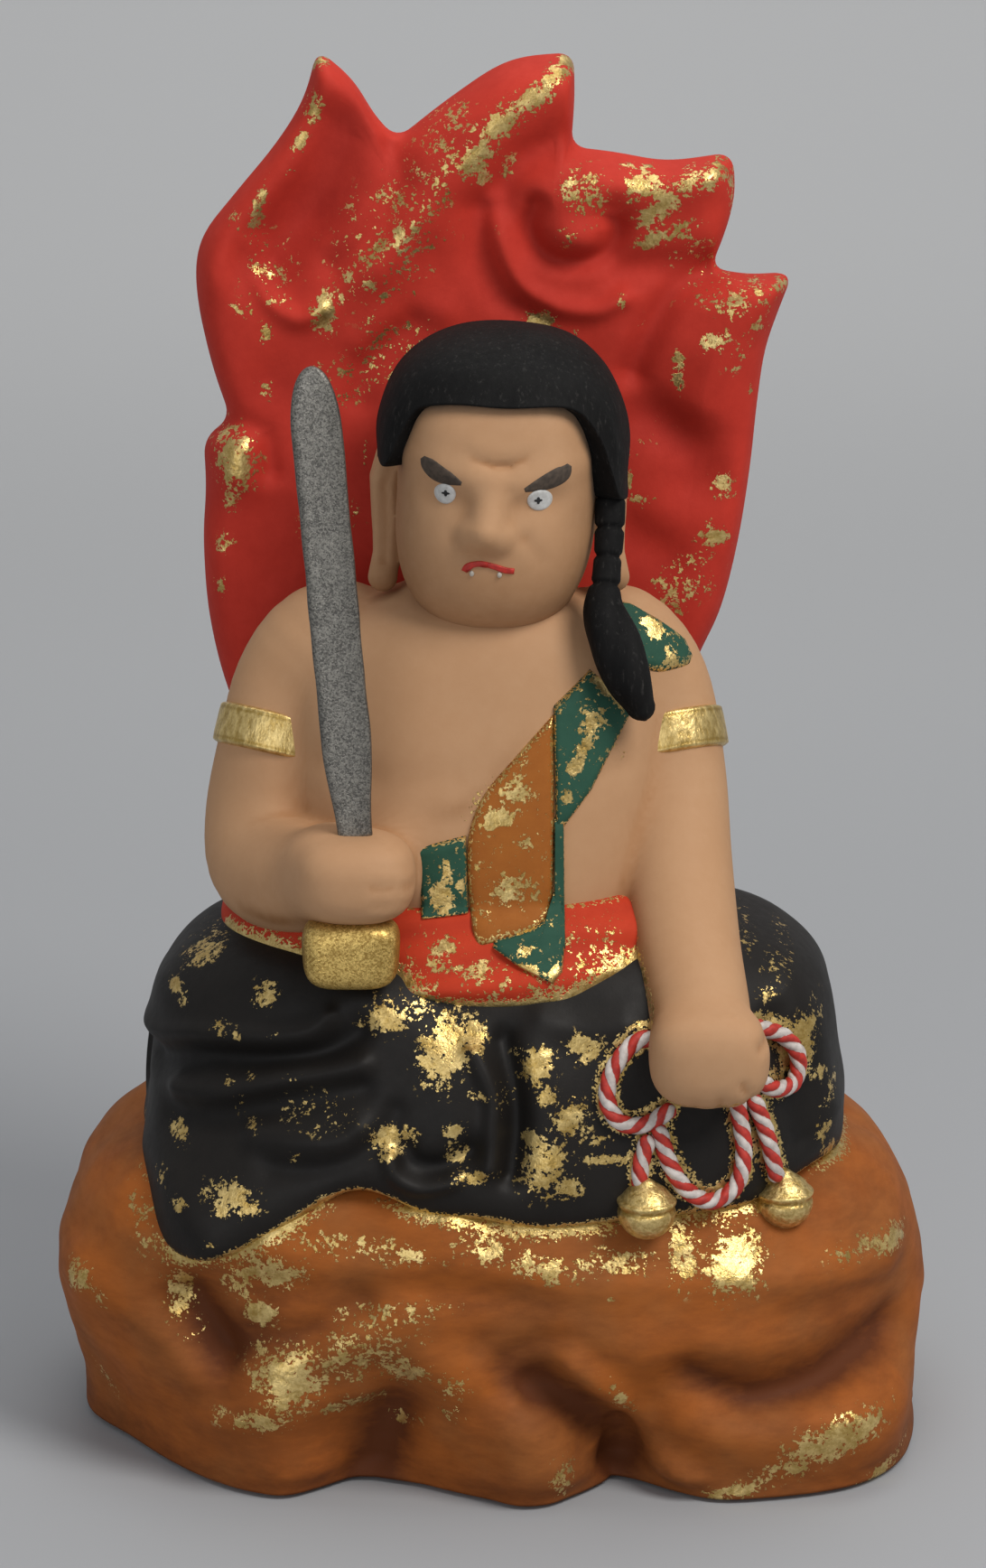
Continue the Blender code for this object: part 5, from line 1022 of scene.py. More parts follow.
# How many points of the outline to each side are averaged to blunt the flames' tips
TIP_BLUNTING = 3
FLAME_STROKES = (
    (((-31, 128), (-33.5, 117), (-39, 107), (-46.5, 99), (-49.5, 90)), 4.6, 1.8),
    (((-27.5, 114.5), (-31, 105.5), (-35.5, 97.5), (-39.5, 92.5)), 6.6, -4.8),
    (((-34.5, 100.5), (-39.5, 94)), 7.5, -2.3),
    (((-42.5, 94.5), (-42, 89), (-39, 84.5), (-34.5, 82), (-30.5, 83.5)), 1.9, 1.8),
    (((-18, 111.5), (-17, 106.5), (-19, 100.5), (-23, 94.5), (-28, 91)), 3, -2.5),
    (((11.5, 125.5), (2, 119), (-6.5, 109), (-12, 102), (-21, 92.5)), 6.4, 3.2),
    (((12.5, 114), (7, 111.5), (3, 107.5), (0.5, 103)), 3.6, -2.8),
    (((14, 96.5), (15, 96.5)), 4.2, 3.4),
    (((20.5, 101), (22, 97.5), (19.5, 93.5), (14.5, 92), (9, 93.5), (6.5, 98), (7.5, 102)), 2.2, -3.2),
    (((0, 102.5), (1, 96.5), (3, 91), (6.5, 86.5), (12, 84), (18.5, 83.5), (23, 85.5)), 2, 2),
    (((-3, 101), (-2, 93), (1.5, 86), (7, 82.5)), 3.2, -2.1),
    (((40.5, 109.5), (32.5, 106), (24.5, 105.5), (16.5, 105.5), (10, 104)), 4.8, 2.8),
    (((23, 90.5), (29.5, 91), (36.5, 92)), 3.4, -2.5),
    (((38.5, 89.5), (32.5, 87), (28.5, 80.5), (25, 72.5)), 3, -3.2),
    (((51, 88), (45, 82.5), (41, 76), (37.5, 66.5)), 4.6, 2.5),
    (((28.5, 64.5), (34.5, 59.5), (37, 53)), 5.4, -3),
    (((-45, 59), (-46, 54.5)), 4.6, 3.2),
    (((-47, 62.5), (-41.5, 61), (-40, 54.5)), 2.4, -2.3),
    (((-14.5, 81.5), (-22, 74), (-24, 67.5)), 3.2, -1.8),
    (((-9, 83), (-17, 82.5), (-23.5, 77.5)), 3, 1),
    (((47, 54.5), (44, 40)), 3.6, 1.3),
    (((25, 43), (31.5, 38)), 5, -1.4),
    (((-50.5, 37.5), (-49.5, 25.5)), 4, 1.1),
    (((-39.5, 71), (-35, 63)), 6, -1.4),
)
HALO_LEAF = (
    (-31, 127, 2, 1.5, 0, 0.7), (-31.5, 119, 1.5, 2.5, -14, 0.8), (-34, 113, 1, 2.5, -28, 0.8),
    (-35.5, 108, 1.5, 0.5, 20, 0.6), (-41.5, 101, 1, 4.5, -20, 0.85), (-45.5, 99, 1, 1.5, 0, 0.5),
    (-44.5, 83.5, 1.5, 1, 0, 0.8), (-40.5, 79.5, 1, 2, 0, 0.7), (-40.5, 69, 1, 1.5, 0, 0.7),
    (-30, 83, 2, 4, 0, 0.9), (-25.5, 89.5, 1, 1.5, 0, 0.85), (-26.5, 85.5, 1, 1, 0, 0.5),
    (-19.5, 86, 1, 1, 0, 0.6), (-22, 82, 1.5, 1, 0, 0.6), (-15, 80.5, 0.5, 1, 0, 0.6),
    (-14, 86.5, 0.5, 1, 0, 0.55), (-18.5, 96, 8, 12, -38, 0.4), (-3, 111, 2.5, 4.5, -35, 0.95),
    (1, 116.5, 5, 2.5, 48, 0.95), (7.5, 121, 4.5, 2, 36, 0.85), (11.5, 125, 3, 1.5, 28, 0.9),
    (13.5, 127, 2, 1, 0, 0.8), (-1.5, 107.5, 1.5, 1.5, 0, 0.8), (-6.5, 111, 0.5, 3, 0, 0.5),
    (-5.5, 118.5, 2, 1, 45, 0.75), (2.5, 109, 1.5, 2, 0, 0.6), (-7.5, 114, 5, 6.5, -30, 0.4),
    (16, 104, 4, 4, 0, 0.7), (26.5, 105.5, 3, 2.5, 20, 0.95), (30.5, 102.5, 3, 3, -30, 0.95),
    (27, 99.5, 2, 1.5, 0, 0.8), (29, 96, 3.5, 1.5, 15, 0.9), (36.5, 106.5, 4, 2, 10, 0.8),
    (40, 107.5, 2, 2, 0, 0.65), (33, 98, 3.5, 2, 0, 0.65), (24, 108, 2, 1, 0, 0.5),
    (42.5, 105.5, 1, 5, 0, 0.55), (34.5, 93.5, 4, 2, 25, 0.4), (23, 85, 1, 1.5, 0, 0.7),
    (8.5, 81.5, 2.5, 1.5, 0, 0.9), (14.5, 79.5, 0.5, 0.5, 0, 0.6), (13, 96.5, 1.5, 2, 0, 0.45),
    (42.5, 84.5, 2.5, 2.5, -20, 0.85), (39, 78, 2.5, 1.5, 30, 0.8), (33, 74.5, 1, 1.5, 0, 0.9),
    (33, 71, 1, 2.5, 15, 0.9), (47.5, 81, 1.5, 2, 0, 0.5), (46.5, 87, 2, 1.5, 0, 0.55),
    (51, 87.5, 2, 1, 0, 0.65), (46, 69, 0.5, 1.5, 0, 0.4), (-46, 56.5, 3.5, 5, 8, 0.95),
    (-46, 61.5, 2, 1, 0, 0.65), (-47, 49, 1.5, 2, 0, 0.7), (-48.5, 41, 1.5, 2, 0, 0.5),
    (-23, 58, 0.5, 2, 0, 0.6), (26, 49, 2, 1, 0, 0.8), (24.5, 53, 0.5, 2, 0, 0.8),
    (29, 49.5, 1, 0.5, 0, 0.45), (41.5, 51.5, 2.5, 2, 0, 0.75), (40, 42, 2.5, 2.5, 0, 0.8),
    (35.5, 37.5, 3.5, 1.5, 20, 0.6), (34.5, 33.5, 5, 3, 0, 0.55), (32.5, 30, 2.5, 2, 0, 0.6),
    (29, 34.5, 1, 1, 0, 0.5), (-49.5, 33, 1, 2, 0, 0.45), (-20.5, 79, 2.5, 2.5, 0, 0.4),
    (15, 129, 1.5, 1, 0, 0.6), (41.5, 109.5, 2, 1, 0, 0.6), (-12, 106, 5, 5, 0, 0.35),
    (-39.5, 90, 5, 6.5, 0, 0.3), (44, 77.5, 2, 5, -20, 0.4),
)
# Share of the outline and of the half-thickness, from the back's middle round the edge to the front
HALO_EDGE = (
    (0.03, 1), (0.4, 1), (0.75, 0.99), (0.9, 0.9), (0.97, 0.6), (1, 0.05), (0.99, -0.35), (0.965, -0.66),
    (0.925, -0.88), (0.87, -0.98), (0.8, -1),
)


def make_halo():
    """The flame outline drawn in ring by ring round a rounded edge, with relief on the front face."""
    drawn = spline(FLAME, HALO_COLUMNS, closed=True, sharp=FLAME_CORNERS)
    steps = range(-TIP_BLUNTING, TIP_BLUNTING + 1)
    outline = np.mean([np.roll(drawn, step, axis=0) for step in steps], axis=0)
    inner = np.linspace(0.79, 0.02, HALO_FACE_ROWS)
    rings = np.vstack([spline(HALO_EDGE, HALO_EDGE_ROWS), np.column_stack([inner, 0 * inner - 1])])
    share, side = rings[:, :1], rings[:, 1:]
    x, z = np.moveaxis(HALO_CENTRE + (outline - HALO_CENTRE)[None] * share[..., None], -1, 0)
    face, back = smoothstep(-0.2, -0.97, side), smoothstep(0.2, 0.97, side)
    relief = strokes(x, z, FLAME_STROKES) * HALO_RELIEF
    points = np.stack([x, HALO_FRONT + HALO_HALF * (1 + side) + 0 * x, z + HALO_RISE], axis=-1)
    swell = swells(points, HALO_SWELLS)
    points[..., 1] -= face * (relief + swell) - back * swell * 1.6
    # Painted shade in the hollows of the relief on the front face.
    crease = part_of(-relief, HALO_RELIEF_DEEP) * 0.5 * face
    leaf = patches(x, z, HALO_LEAF) * smoothstep(0.5, -0.2, side)
    leaf = np.maximum(leaf, stray_leaf(points, 24 * MM, 0.32, 0.8, 8))
    halo = add_shell("flame_halo_relief", points, crease=crease, leaf=leaf)
    dress(halo, HALO_PAINT, "clay_red", "flame_halo")


# Flesh: heights above the lap in mm

TORSO_X, TORSO_Y = -2.5 * MM, -1 * MM
TORSO_POWER = 2.3
BODY_GRAIN = 0.75 * MM
BODY_BACK = 25.8 * MM
# Height, half-width and half-depth
TORSO_SECTIONS = mm(
    (-13, 22, 17), (-8, 28, 23), (0, 31, 26.5), (8, 32.5, 28), (18, 33, 27), (30, 33.5, 24.5),
    (41, 33, 21.5), (50, 28, 18.5), (55.5, 20, 15), (58.5, 12, 10),
)
# Place and radius
RIGHT_ARM = mm(
    (-22, 3, 51, 4), (-25.5, 3, 49.5, 8.5), (-30, 2.5, 46, 11.2), (-34.5, 2, 39, 11.4),
    (-37.5, -1, 30, 10.8), (-39.5, -4, 18, 11.2), (-39, -11, 11, 10.8), (-34, -21, 11, 9.4),
    (-28.5, -29, 14, 8),
)
LEFT_ARM = mm(
    (16, 3, 51, 4), (19.5, 3, 49.5, 8), (23.5, 2.5, 46, 10.4), (28, 1, 38.5, 10.6), (31, -4, 25, 10),
    (32, -13, 12, 9.8), (33.4, -25, 0, 9.4), (35.2, -35.5, -8, 8.8), (36, -40.5, -11.5, 8.2),
)
NECK_ROOT = mm((-2, 0, 50, 15), (-1, 1, 58, 11))
RIGHT_FIST, RIGHT_FIST_HALF = LAP_PLACE + mm(-23.3, -36, 16), mm(10.2, 9.3, 7.6)
LEFT_HAND, LEFT_HAND_HALF = LAP_PLACE + mm(36.6, -45.5, -13), mm(10.2, 7.2, 8.6)
HAND_POWER = 2.6
# Lines pressed into the body: points, half-width and depth
BODY_LINES = (
    (((-19.5, -45.4, 20.4), (-15, -44, 19.8), (-12.6, -39, 19)), 0.95, 0.55),
    (((-20, -45.8, 16.8), (-15, -44.4, 16.2), (-12.4, -39, 15.6)), 0.95, 0.6),
    (((-19.5, -45.6, 13.2), (-15, -44.2, 12.8), (-12.6, -39, 12.4)), 0.95, 0.6),
    (((-27, -46, 11.5), (-18, -46.4, 10.4), (-14, -44, 11)), 1, 0.5),
    (((38, -53, -18), (38.6, -48, -22.5)), 0.9, 0.5),
    (((42, -52, -16), (43.4, -47, -20)), 0.9, 0.5),
    (((34, -53, -19), (33.8, -48, -22.5)), 0.9, 0.45),
    (((45, -50, -10), (46.4, -44, -9)), 1.2, 0.5),
    (((-3, -27, 40), (-3, -29, 20), (-3, -29.5, 10)), 3.5, 0.35),
    (((-30, -16, 31), (-18, -25, 29), (-7, -26, 31)), 3, 0.35),
    (((1, -26, 31), (12, -25, 29), (22, -18, 31)), 3, 0.3),
)


def torso_distance(clay):
    """Rounded-rectangle sections whose half-width and half-depth change smoothly with the height."""
    run = spline(TORSO_SECTIONS, 120)
    level = clay.z - LAP
    reach_x = np.interp(level, run[:, 0], run[:, 1]).astype(np.float32)
    reach_y = np.interp(level, run[:, 0], run[:, 2]).astype(np.float32)
    across = np.abs((clay.x - TORSO_X) / reach_x) ** TORSO_POWER
    along = np.abs((clay.y - TORSO_Y) / reach_y) ** TORSO_POWER
    side = ((across + along) ** (1 / TORSO_POWER) - 1) * np.minimum(reach_x, reach_y)
    ends = np.maximum(level - TORSO_SECTIONS[-1, 0], TORSO_SECTIONS[0, 0] - level)
    return np.maximum(side, ends).astype(np.float32)


def make_body():
    """Torso, arms and hands joined by fillets, with the chest, knuckles and skin folds pressed in."""
    clay = Clay(LAP_PLACE + mm(-55, -57, -26), LAP_PLACE + mm(52, 27, 62), BODY_GRAIN)
    clay.add(torso_distance(clay))
    clay.add(clay.rounds(LAP_PLACE, NECK_ROOT), 6 * MM)
    clay.add(clay.rounds(LAP_PLACE, spline(RIGHT_ARM, 34)), 3.5 * MM)
    clay.add(clay.rounds(LAP_PLACE, spline(LEFT_ARM, 38)), 2.6 * MM)
    clay.add(clay.squared_ball(RIGHT_FIST, RIGHT_FIST_HALF, HAND_POWER), 6 * MM)
    clay.add(clay.squared_ball(LEFT_HAND, LEFT_HAND_HALF, HAND_POWER), 3 * MM)
    for line, half_width, depth in BODY_LINES:
        clay.press(LAP_PLACE + mm(*line), half_width * MM, depth * MM)
    clay.field = np.maximum(clay.field, clay.y - BODY_BACK)
    points, faces = clay.skin()
    return clay, relax(points, faces, 2), faces


# Face: places from the middle of the head in mm

FACE_GRAIN = 0.5 * MM
FACE_HALF = (19, 25)
FACE_REACH = 21.6
JAW, JAW_HALF = mm(-1.7, -5.5, -10), mm(15, 15, 14.6)
BROW, BROW_HALF = mm(0, -1, 6), mm(16.8, 19.8, 15)
NECK = mm((0, 2, -10, 11), (0, 2, -36, 11.5))
EYES = ((-9.1, 1.6), (6.9, 0.7))
NOSE = mm((-1.1, -20.6, 3, 1.8), (-1.6, -22, -0.5, 2), (-2.2, -23.3, -4.3, 2.6))
RIGHT_NOSTRIL = mm((-4.4, -21.4, -5.3, 1.7), (-4.4, -20.9, -5.3, 1.7))
LEFT_NOSTRIL = mm((-0.1, -21.5, -5.7, 1.7), (-0.1, -21, -5.7, 1.7))
EAR = mm(
    (18.4, 3, 5.4, 1.9), (19.6, 3.2, -1, 2.7), (19.5, 2, -8, 2.5), (19.6, 0.6, -13, 2.3),
    (20.2, -0.6, -17.2, 2.6),
)
EAR_BACK = mm(1.6, 2.2, 2, 1.5)
FROWN = ((-5.2, 9.6), (-3.8, 7.2), (-1, 6.4), (2, 6.5), (4, 7.5), (5.8, 9.2))
# Lines seen from the front, half-width and depth: brow ridges, frown, root of the nose, eye sockets,
# folds beside the nose, mouth and chin
FACE_LINES = (
    (((-14.5, 7), (-9.5, 6), (-5, 4.2)), 2.4, -1.1),
    (((13, 6), (8.5, 5), (4, 3.2)), 2.4, -1.1),
    (FROWN, 1, 0.62),
    ([(x, z + 2.6) for x, z in FROWN[1:-1]], 1.5, -0.4),
    ([(x * 0.8, z - 2.6) for x, z in FROWN[1:-1]], 1.4, -0.35),
    (((-4.2, 3.2), (-1.2, 2.6), (1.8, 3)), 0.9, 0.55),
    *((((x - 1.5, z - 0.4), (x + 1.5, z - 0.4)), 3.4, 0.75) for x, z in EYES),
    (((-7.5, -6), (-9.5, -9.5)), 1.6, 0.4),
    (((4.2, -6), (6.2, -9.5)), 1.6, 0.45),
    (((-5.8, -11.6), (-1.6, -10.7), (3.2, -11.9)), 1.3, 0.55),
    (((-4, -17), (1.5, -17)), 3.2, -0.7),
)


def face_line(points):
    """A line seen from the front, laid on an ellipsoid that stands for the front of the face."""
    x, z = np.array(points, float).T
    bow = np.sqrt(np.maximum(1 - (x / FACE_HALF[0]) ** 2 - (z / FACE_HALF[1]) ** 2, 0.1))
    return HEAD + np.column_stack([x, -FACE_REACH * bow, z]) * MM


def add_ear(clay, side):
    """A long ear: a flattened run of rounds from the temple to the lobe, with its rim's groove pressed
    in."""
    run = EAR * (side, 1, 1, 1)
    clay.add(clay.rounds(HEAD, run), 1.6 * MM)
    upper = run[:4, :3]
    back = np.column_stack([upper + mm(side * 0.8, 4.2, 0), EAR_BACK])
    clay.add(clay.rounds(HEAD, back), 2.2 * MM)
    clay.press(HEAD + upper + mm(side * 0.3, -2.6, -1), 0.8 * MM, 0.9 * MM)
    clay.press(HEAD + upper + mm(-side * 2.3, -2.2, 0), 0.7 * MM, 0.5 * MM)


def make_head():
    """Skull, jaw, brow, neck, nose and long-lobed ears joined by fillets, with the face's lines pressed
    in."""
    clay = Clay(HEAD + mm(-27, -29, -37), HEAD + mm(27, 25, 27), FACE_GRAIN)
    clay.add(clay.squared_ball(HEAD, HEAD_HALF, 2.35))
    clay.add(clay.squared_ball(HEAD + JAW, JAW_HALF, 2.3), 5 * MM)
    clay.add(clay.squared_ball(HEAD + BROW, BROW_HALF, 3), 2 * MM)
    for run, fillet in ((NECK, 5), (NOSE, 3.4), (RIGHT_NOSTRIL, 2.8), (LEFT_NOSTRIL, 2.8)):
        clay.add(clay.rounds(HEAD, run), fillet * MM)
    for line, half_width, depth in FACE_LINES:
        clay.press(face_line(line), half_width * MM, depth * MM)
    for side in (-1, 1):
        add_ear(clay, side)
    points, faces = clay.skin()
    return clay, relax(points, faces, 1), faces


# Soft lines of colour on the skin: points above the lap, half-width in mm and strength. The first table is
# ochre smudges and painted shade under the right arm and fist, where the arms meet the body and beside the
# sash; the second is gold dust.
BODY_STAINS_AND_SHADE = (
    (((-42, -22, 6.4), (-36, -30, 5.6), (-30, -37, 7)), 1.9, 0.9),
    (((23.4, -18, 10), (25.4, -31, 0), (28, -42, -9)), 2.5, 0.9),
    (((-13, -42, 10), (-24, -46, 9)), 1.4, 0.7),
    (((-31, 8, 34), (-28, -12, 30), (-26, -18, 16)), 2.4, 0.4),
    (((-12, -24, 24), (-4, -27, 26), (6, -25, 38)), 1.6, 0.45),
)
BODY_DUST = (
    (((23.2, -18, 9), (25, -30.5, -1), (27.6, -42, -10)), 1.7, 0.62),
    (((27, -46, -18), (33, -50, -21.4), (41, -50, -20.6)), 1.1, 0.8),
    (((15, -21, 42), (19, -19, 36), (22, -17, 33)), 1.6, 0.45),
    (((-5, -26, 22), (0, -26, 31), (9, -24, 41)), 1, 0.5),
)
# How many mm of the face's side a degree round the head stands for
FACE_TURN = 0.36


def skin_lines(points, table):
    """Greatest strength of a set of soft lines drawn on the skin."""
    cover = np.zeros(len(points))
    for line, width, strength in table:
        curve = LAP_PLACE + spline(mm(*line), 30)
        cover = np.maximum(cover, strength * bell(nearest(points, curve) / (width * MM)))
    return cover


def face_tints(points):
    """Ochre over the jaw and the face's sides, partly the figure's own tint and partly painted shade,
    darkest under the chin as painted shade, and a grey wash along the hairline.
    """
    x, y, z = ((points - HEAD) / MM).T
    turn = np.degrees(np.arctan2(x, -y))
    front = smoothstep(2, -6, y)
    # Ochre over the lower face and the sides: partly its own tint, partly painted shade.
    blush = 0.32 * smoothstep(-3, -19, z) + 0.3 * smoothstep(9, 17, np.abs(x + 1))
    # Painted shade under the chin.
    blush = np.maximum(blush * front, 0.6 * smoothstep(-21, -26, z))
    edge = spline(HAIRLINE, 300) * (FACE_TURN, 1)
    wash = 0.75 * bell(nearest(np.column_stack([turn * FACE_TURN, z]), edge) / 1.3) * front
    return blush, wash


def flesh_piece(name, points, faces, depth, nodes, **tints):
    """A flesh skin with painted shade in its hollows of the given depth, and its tints."""
    crease = part_of(hollow_of(points, faces), depth) * 0.9
    triangles = np.vstack([faces[:, [0, 1, 2]], faces[:, [0, 2, 3]]])
    piece = add_mesh(name, points, triangles, crease=crease, **tints)
    dress(piece, FLESH_PAINT, "clay_flesh", *nodes)


# Thin pieces that lie on the flesh

EDGE_ROWS = 6
UNDER_STRIDE = 4
FORWARD_SEED = -60 * MM


def front_seeds(flat):
    """Starting places well before the figure."""
    return np.insert(flat, 1, FORWARD_SEED, axis=-1)


def make_patch(
    clay, outline, thickness, direction=(0, 1, 0), seeds=front_seeds, rows=14, roll=0.22, dome=0.0,
    sink=0.4 * MM,
):
    """An outline filled from its middle, dropped on the clay, raised with a rolled edge and closed
    underneath. Returns the grid and each row's share of the way to the edge."""
    direction = unit(np.array(direction, float))
    middle = outline.mean(axis=0)
    bend = np.linspace(0, math.pi / 2, EDGE_ROWS + 1)[1:]
    share = np.concatenate([np.linspace(0.02, 1 - roll, rows), 1 - roll * (1 - np.sin(bend))])
    edge = part_of(share - 1 + roll, roll)
    lift = thickness * (np.sqrt(1 - edge**2) + dome * (1 - share**2))
    landed = clay.land(seeds(middle + (outline - middle)[None] * share[:, None, None]), direction)
    under = (landed + direction * sink)[::-UNDER_STRIDE]
    grid = np.concatenate([landed - direction * lift[:, None, None], under])
    shares = np.concatenate([share, share[::-UNDER_STRIDE]])[:, None]
    return grid, np.broadcast_to(shares, grid.shape[:2])


# Chest sash: outlines seen from the front, sideways place and height above the lap in mm

SASH_PANEL = mm(
    (10.3, 40.6), (3.7, 33.6), (-1.5, 27.5), (-4, 21.5), (-4.4, 15.3), (-3.9, 7.7), (-2.8, 3.4),
    (-0.2, 3.2), (6.8, 5.2), (9.3, 7.1), (10.3, 10.9), (10.5, 24.1),
)
SASH_FACING = mm(
    (16.6, 47.4), (10.4, 42), (10.3, 37.7), (10.6, 30.2), (10.7, 21.4), (12.2, 21.8), (16.9, 27.5),
    (20.5, 34), (24.4, 40.6),
)
SASH_STRIP = mm((10.5, 23.5), (12.1, 23.5), (12.4, 2), (10.5, 2))
SASH_END = mm(
    (10.5, 11), (9.4, 7), (6.8, 5.4), (0.3, 3.9), (-0.2, 2.7), (4.5, -0.3), (10.2, -2.8), (11.9, -1.2),
    (12.4, 3.2), (12.3, 10),
)
SASH_TUCK = mm((-13.2, 18.6), (-4.6, 20.7), (-4.2, 7.6), (-12.3, 6.6))
SASH_SHOULDER = mm(
    (22, 58), (27.4, 55.4), (33.7, 51.6), (34.9, 48.4), (33.6, 45.4), (27.9, 42.6), (23, 45), (19.5, 51),
)
PANEL_LEAF = (
    (3.5, 28.5, 3, 2, 30, 0.85), (1, 24, 3, 2, 20, 0.85), (6, 20, 2, 2, 0, 0.5), (3, 12, 4, 3, 0, 0.6),
    (6.5, 10, 2.5, 2, 0, 0.55), (-1.5, 8, 2, 2, 0, 0.6), (5, 35, 1.5, 2, 0, 0.4),
    (-1.5, 16, 1.5, 2.5, 0, 0.4),
)
GREEN_LEAF = (
    (20.5, 44, 4.5, 1.5, -40, 1), (17, 38, 2, 3.5, -20, 0.9), (14.5, 33, 1.5, 3, -20, 0.85),
    (13, 27, 1, 2, 0, 0.6), (-8, 15.5, 1, 2, 0, 0.85), (-8.5, 11, 2, 3, -15, 0.95),
    (-5.5, 13, 1, 2, 0, 0.7), (6, -0.5, 3, 1, -15, 0.9), (10.5, -1.5, 1.5, 1.5, 0, 0.85),
    (5.5, 2.5, 1.5, 1, 0, 0.7), (28, 52, 2.5, 1.5, -30, 0.75), (31, 47, 1.5, 2.5, 0, 0.8),
)
SASH_LEAF_LEAST = 0.15
ORANGE_CLOTH = (PANEL_PAINT, "clay_orange", PANEL_LEAF)
GREEN_CLOTH = (GREEN_PAINT, "clay_green", GREEN_LEAF)


def make_strip(name, clay, outline, thickness, cloth, *nodes, sharp=None, **options):
    """A sash piece: a patch with a soft edge whose rim carries gold dust and a painted shade."""
    paint, slot, leaf = cloth
    corners = range(len(outline)) if sharp is None else sharp
    outline = spline(outline + (0, LAP), 160, closed=True, sharp=tuple(corners))
    grid, share = make_patch(clay, outline, thickness, **options)
    cover = np.maximum(patches(grid[..., 0], grid[..., 2] - LAP, leaf), SASH_LEAF_LEAST)
    dust = smoothstep(0.86, 0.97, share) * 0.6
    # Painted shade along the rim.
    piece = add_shell(name, grid, crease=smoothstep(0.9, 1.0, share) * 0.5, leaf=cover, dust=dust)
    dress(piece, paint, slot, *nodes)


def shoulder_seeds(flat):
    """Starting places above and before the shoulder, from which the sash's outline drops slantwise."""
    return np.insert(flat + (0, 30 * MM), 1, -46 * MM, axis=-1)


def make_sashes(chest, body):
    """The orange panel and the green strips round it on the chest, and the green piece on the shoulder."""
    make_strip("sash_panel_orange", chest, SASH_PANEL, 1.3 * MM, ORANGE_CLOTH, "sash_panel", sharp=(0,))
    make_strip("sash_facing_green", chest, SASH_FACING, 1.5 * MM, GREEN_CLOTH, "sash_facing")
    make_strip("sash_strip_green", chest, SASH_STRIP, 1.45 * MM, GREEN_CLOTH)
    make_strip("sash_end_green", chest, SASH_END, 1.6 * MM, GREEN_CLOTH, "sash_tail")
    make_strip("sash_tuck_green", chest, SASH_TUCK, 1.3 * MM, GREEN_CLOTH, "sash_tuck")
    make_strip(
        "sash_shoulder_green", body, SASH_SHOULDER, 1.6 * MM, GREEN_CLOTH, "sash_shoulder",
        sharp=(2, 3), direction=(0, 0.8, -0.6), seeds=shoulder_seeds,
    )


# Waist sash

# Height above the lap, half-width and half-depth in mm
WAIST_SECTIONS = mm(
    (-12, 38, 27), (-8, 42, 30), (-5, 45, 32), (0, 45.5, 32.5), (3, 43.6, 32.2), (6, 39.5, 30.6),
    (8, 34.5, 28.4), (8.6, 31, 26),
)
WAIST_LOW, WAIST_HIGH = WAIST_SECTIONS[0, 0], WAIST_SECTIONS[-1, 0]
WAIST_ROWS, WAIST_COLUMNS = 80, 360
WAIST_FOLD, WAIST_FOLD_DEEP = mm(0.34, 0.5)
WAIST_POWER = 2.2
APRON_REACH, APRON_TURN, APRON_HALF = 5.2 * MM, -81, 36
WAIST_LEAF = (
    (-9, 2, 3, 2, 30, 0.8), (-2, -1, 3, 1.5, -20, 0.6), (16, 0, 3, 1.5, 20, 0.5),
    (-38, 0, 3, 1.5, -30, 0.55), (-33, 4, 2, 1, 0, 0.5), (3, -6.5, 8, 1, -6, 0.6), (14, -5.5, 5, 1, 8, 0.6),
    (20, 3, 1.5, 2.5, 0, 0.5), (16, 0, 9, 6, 0, 0.35), (4, -3, 12, 4, 0, 0.35), (-10, 0, 7, 5, 0, 0.35),
    (-33, 2, 6, 4, 0, 0.35),
)


def waist_reach(angle, level):
    """Rounded-rectangle sections, let down over the lap in front as an apron."""
    heights, half_x, half_y = spline(WAIST_SECTIONS, 60).T
    apron = np.exp(-(((np.degrees(angle) - APRON_TURN) / APRON_HALF) ** 4))
    apron = apron * smoothstep(4 * MM, -5 * MM, level)
    half_x, half_y = np.interp(level, heights, half_x), np.interp(level, heights, half_y)
    return superellipse(angle, half_x, half_y, WAIST_POWER) + APRON_REACH * apron


def make_waist(skirt):
    """Rings of the waist's reach with soft pulled folds running round it, gilt where it meets the skirt."""
    level = np.linspace(WAIST_LOW, WAIST_HIGH, WAIST_ROWS)[:, None]
    angle = circle(WAIST_COLUMNS, -math.pi)[None]
    fold = np.sin(level / MM * 1.05 + 3.2 * np.sin(angle * 2 + 0.6)) * WAIST_FOLD
    fold = fold * smoothstep(-10 * MM, -5 * MM, level) * smoothstep(8.6 * MM, 6 * MM, level)
    points = around(angle, waist_reach(angle, level) + fold, LAP + level) + (TORSO_X, TORSO_Y, 0)
    x, y, z = np.moveaxis(points, -1, 0)
    front = smoothstep(0, -12 * MM, y)
    low = (z < LAP + 3 * MM) & (y < 4 * MM)
    lap_cloth = skirt[np.abs(skirt[:, 2] - LAP + 5 * MM) < 9 * MM][::2]
    gap = np.full(x.shape, 1.0)
    gap[low] = nearest(points[low], lap_cloth)
    dust = bell(gap / (1.5 * MM)) + bell((level - 8.2 * MM) / (0.8 * MM)) * 0.4 * front
    # Painted shade in the hollows of the folds.
    crease = part_of(-fold, WAIST_FOLD_DEEP) * 0.4
    leaf = patches(x, z - LAP, WAIST_LEAF) * front
    sash = add_shell("waist_band", points, crease=crease, leaf=leaf, dust=dust)
    dress(sash, WAIST_PAINT, "clay_red", "waist_sash")


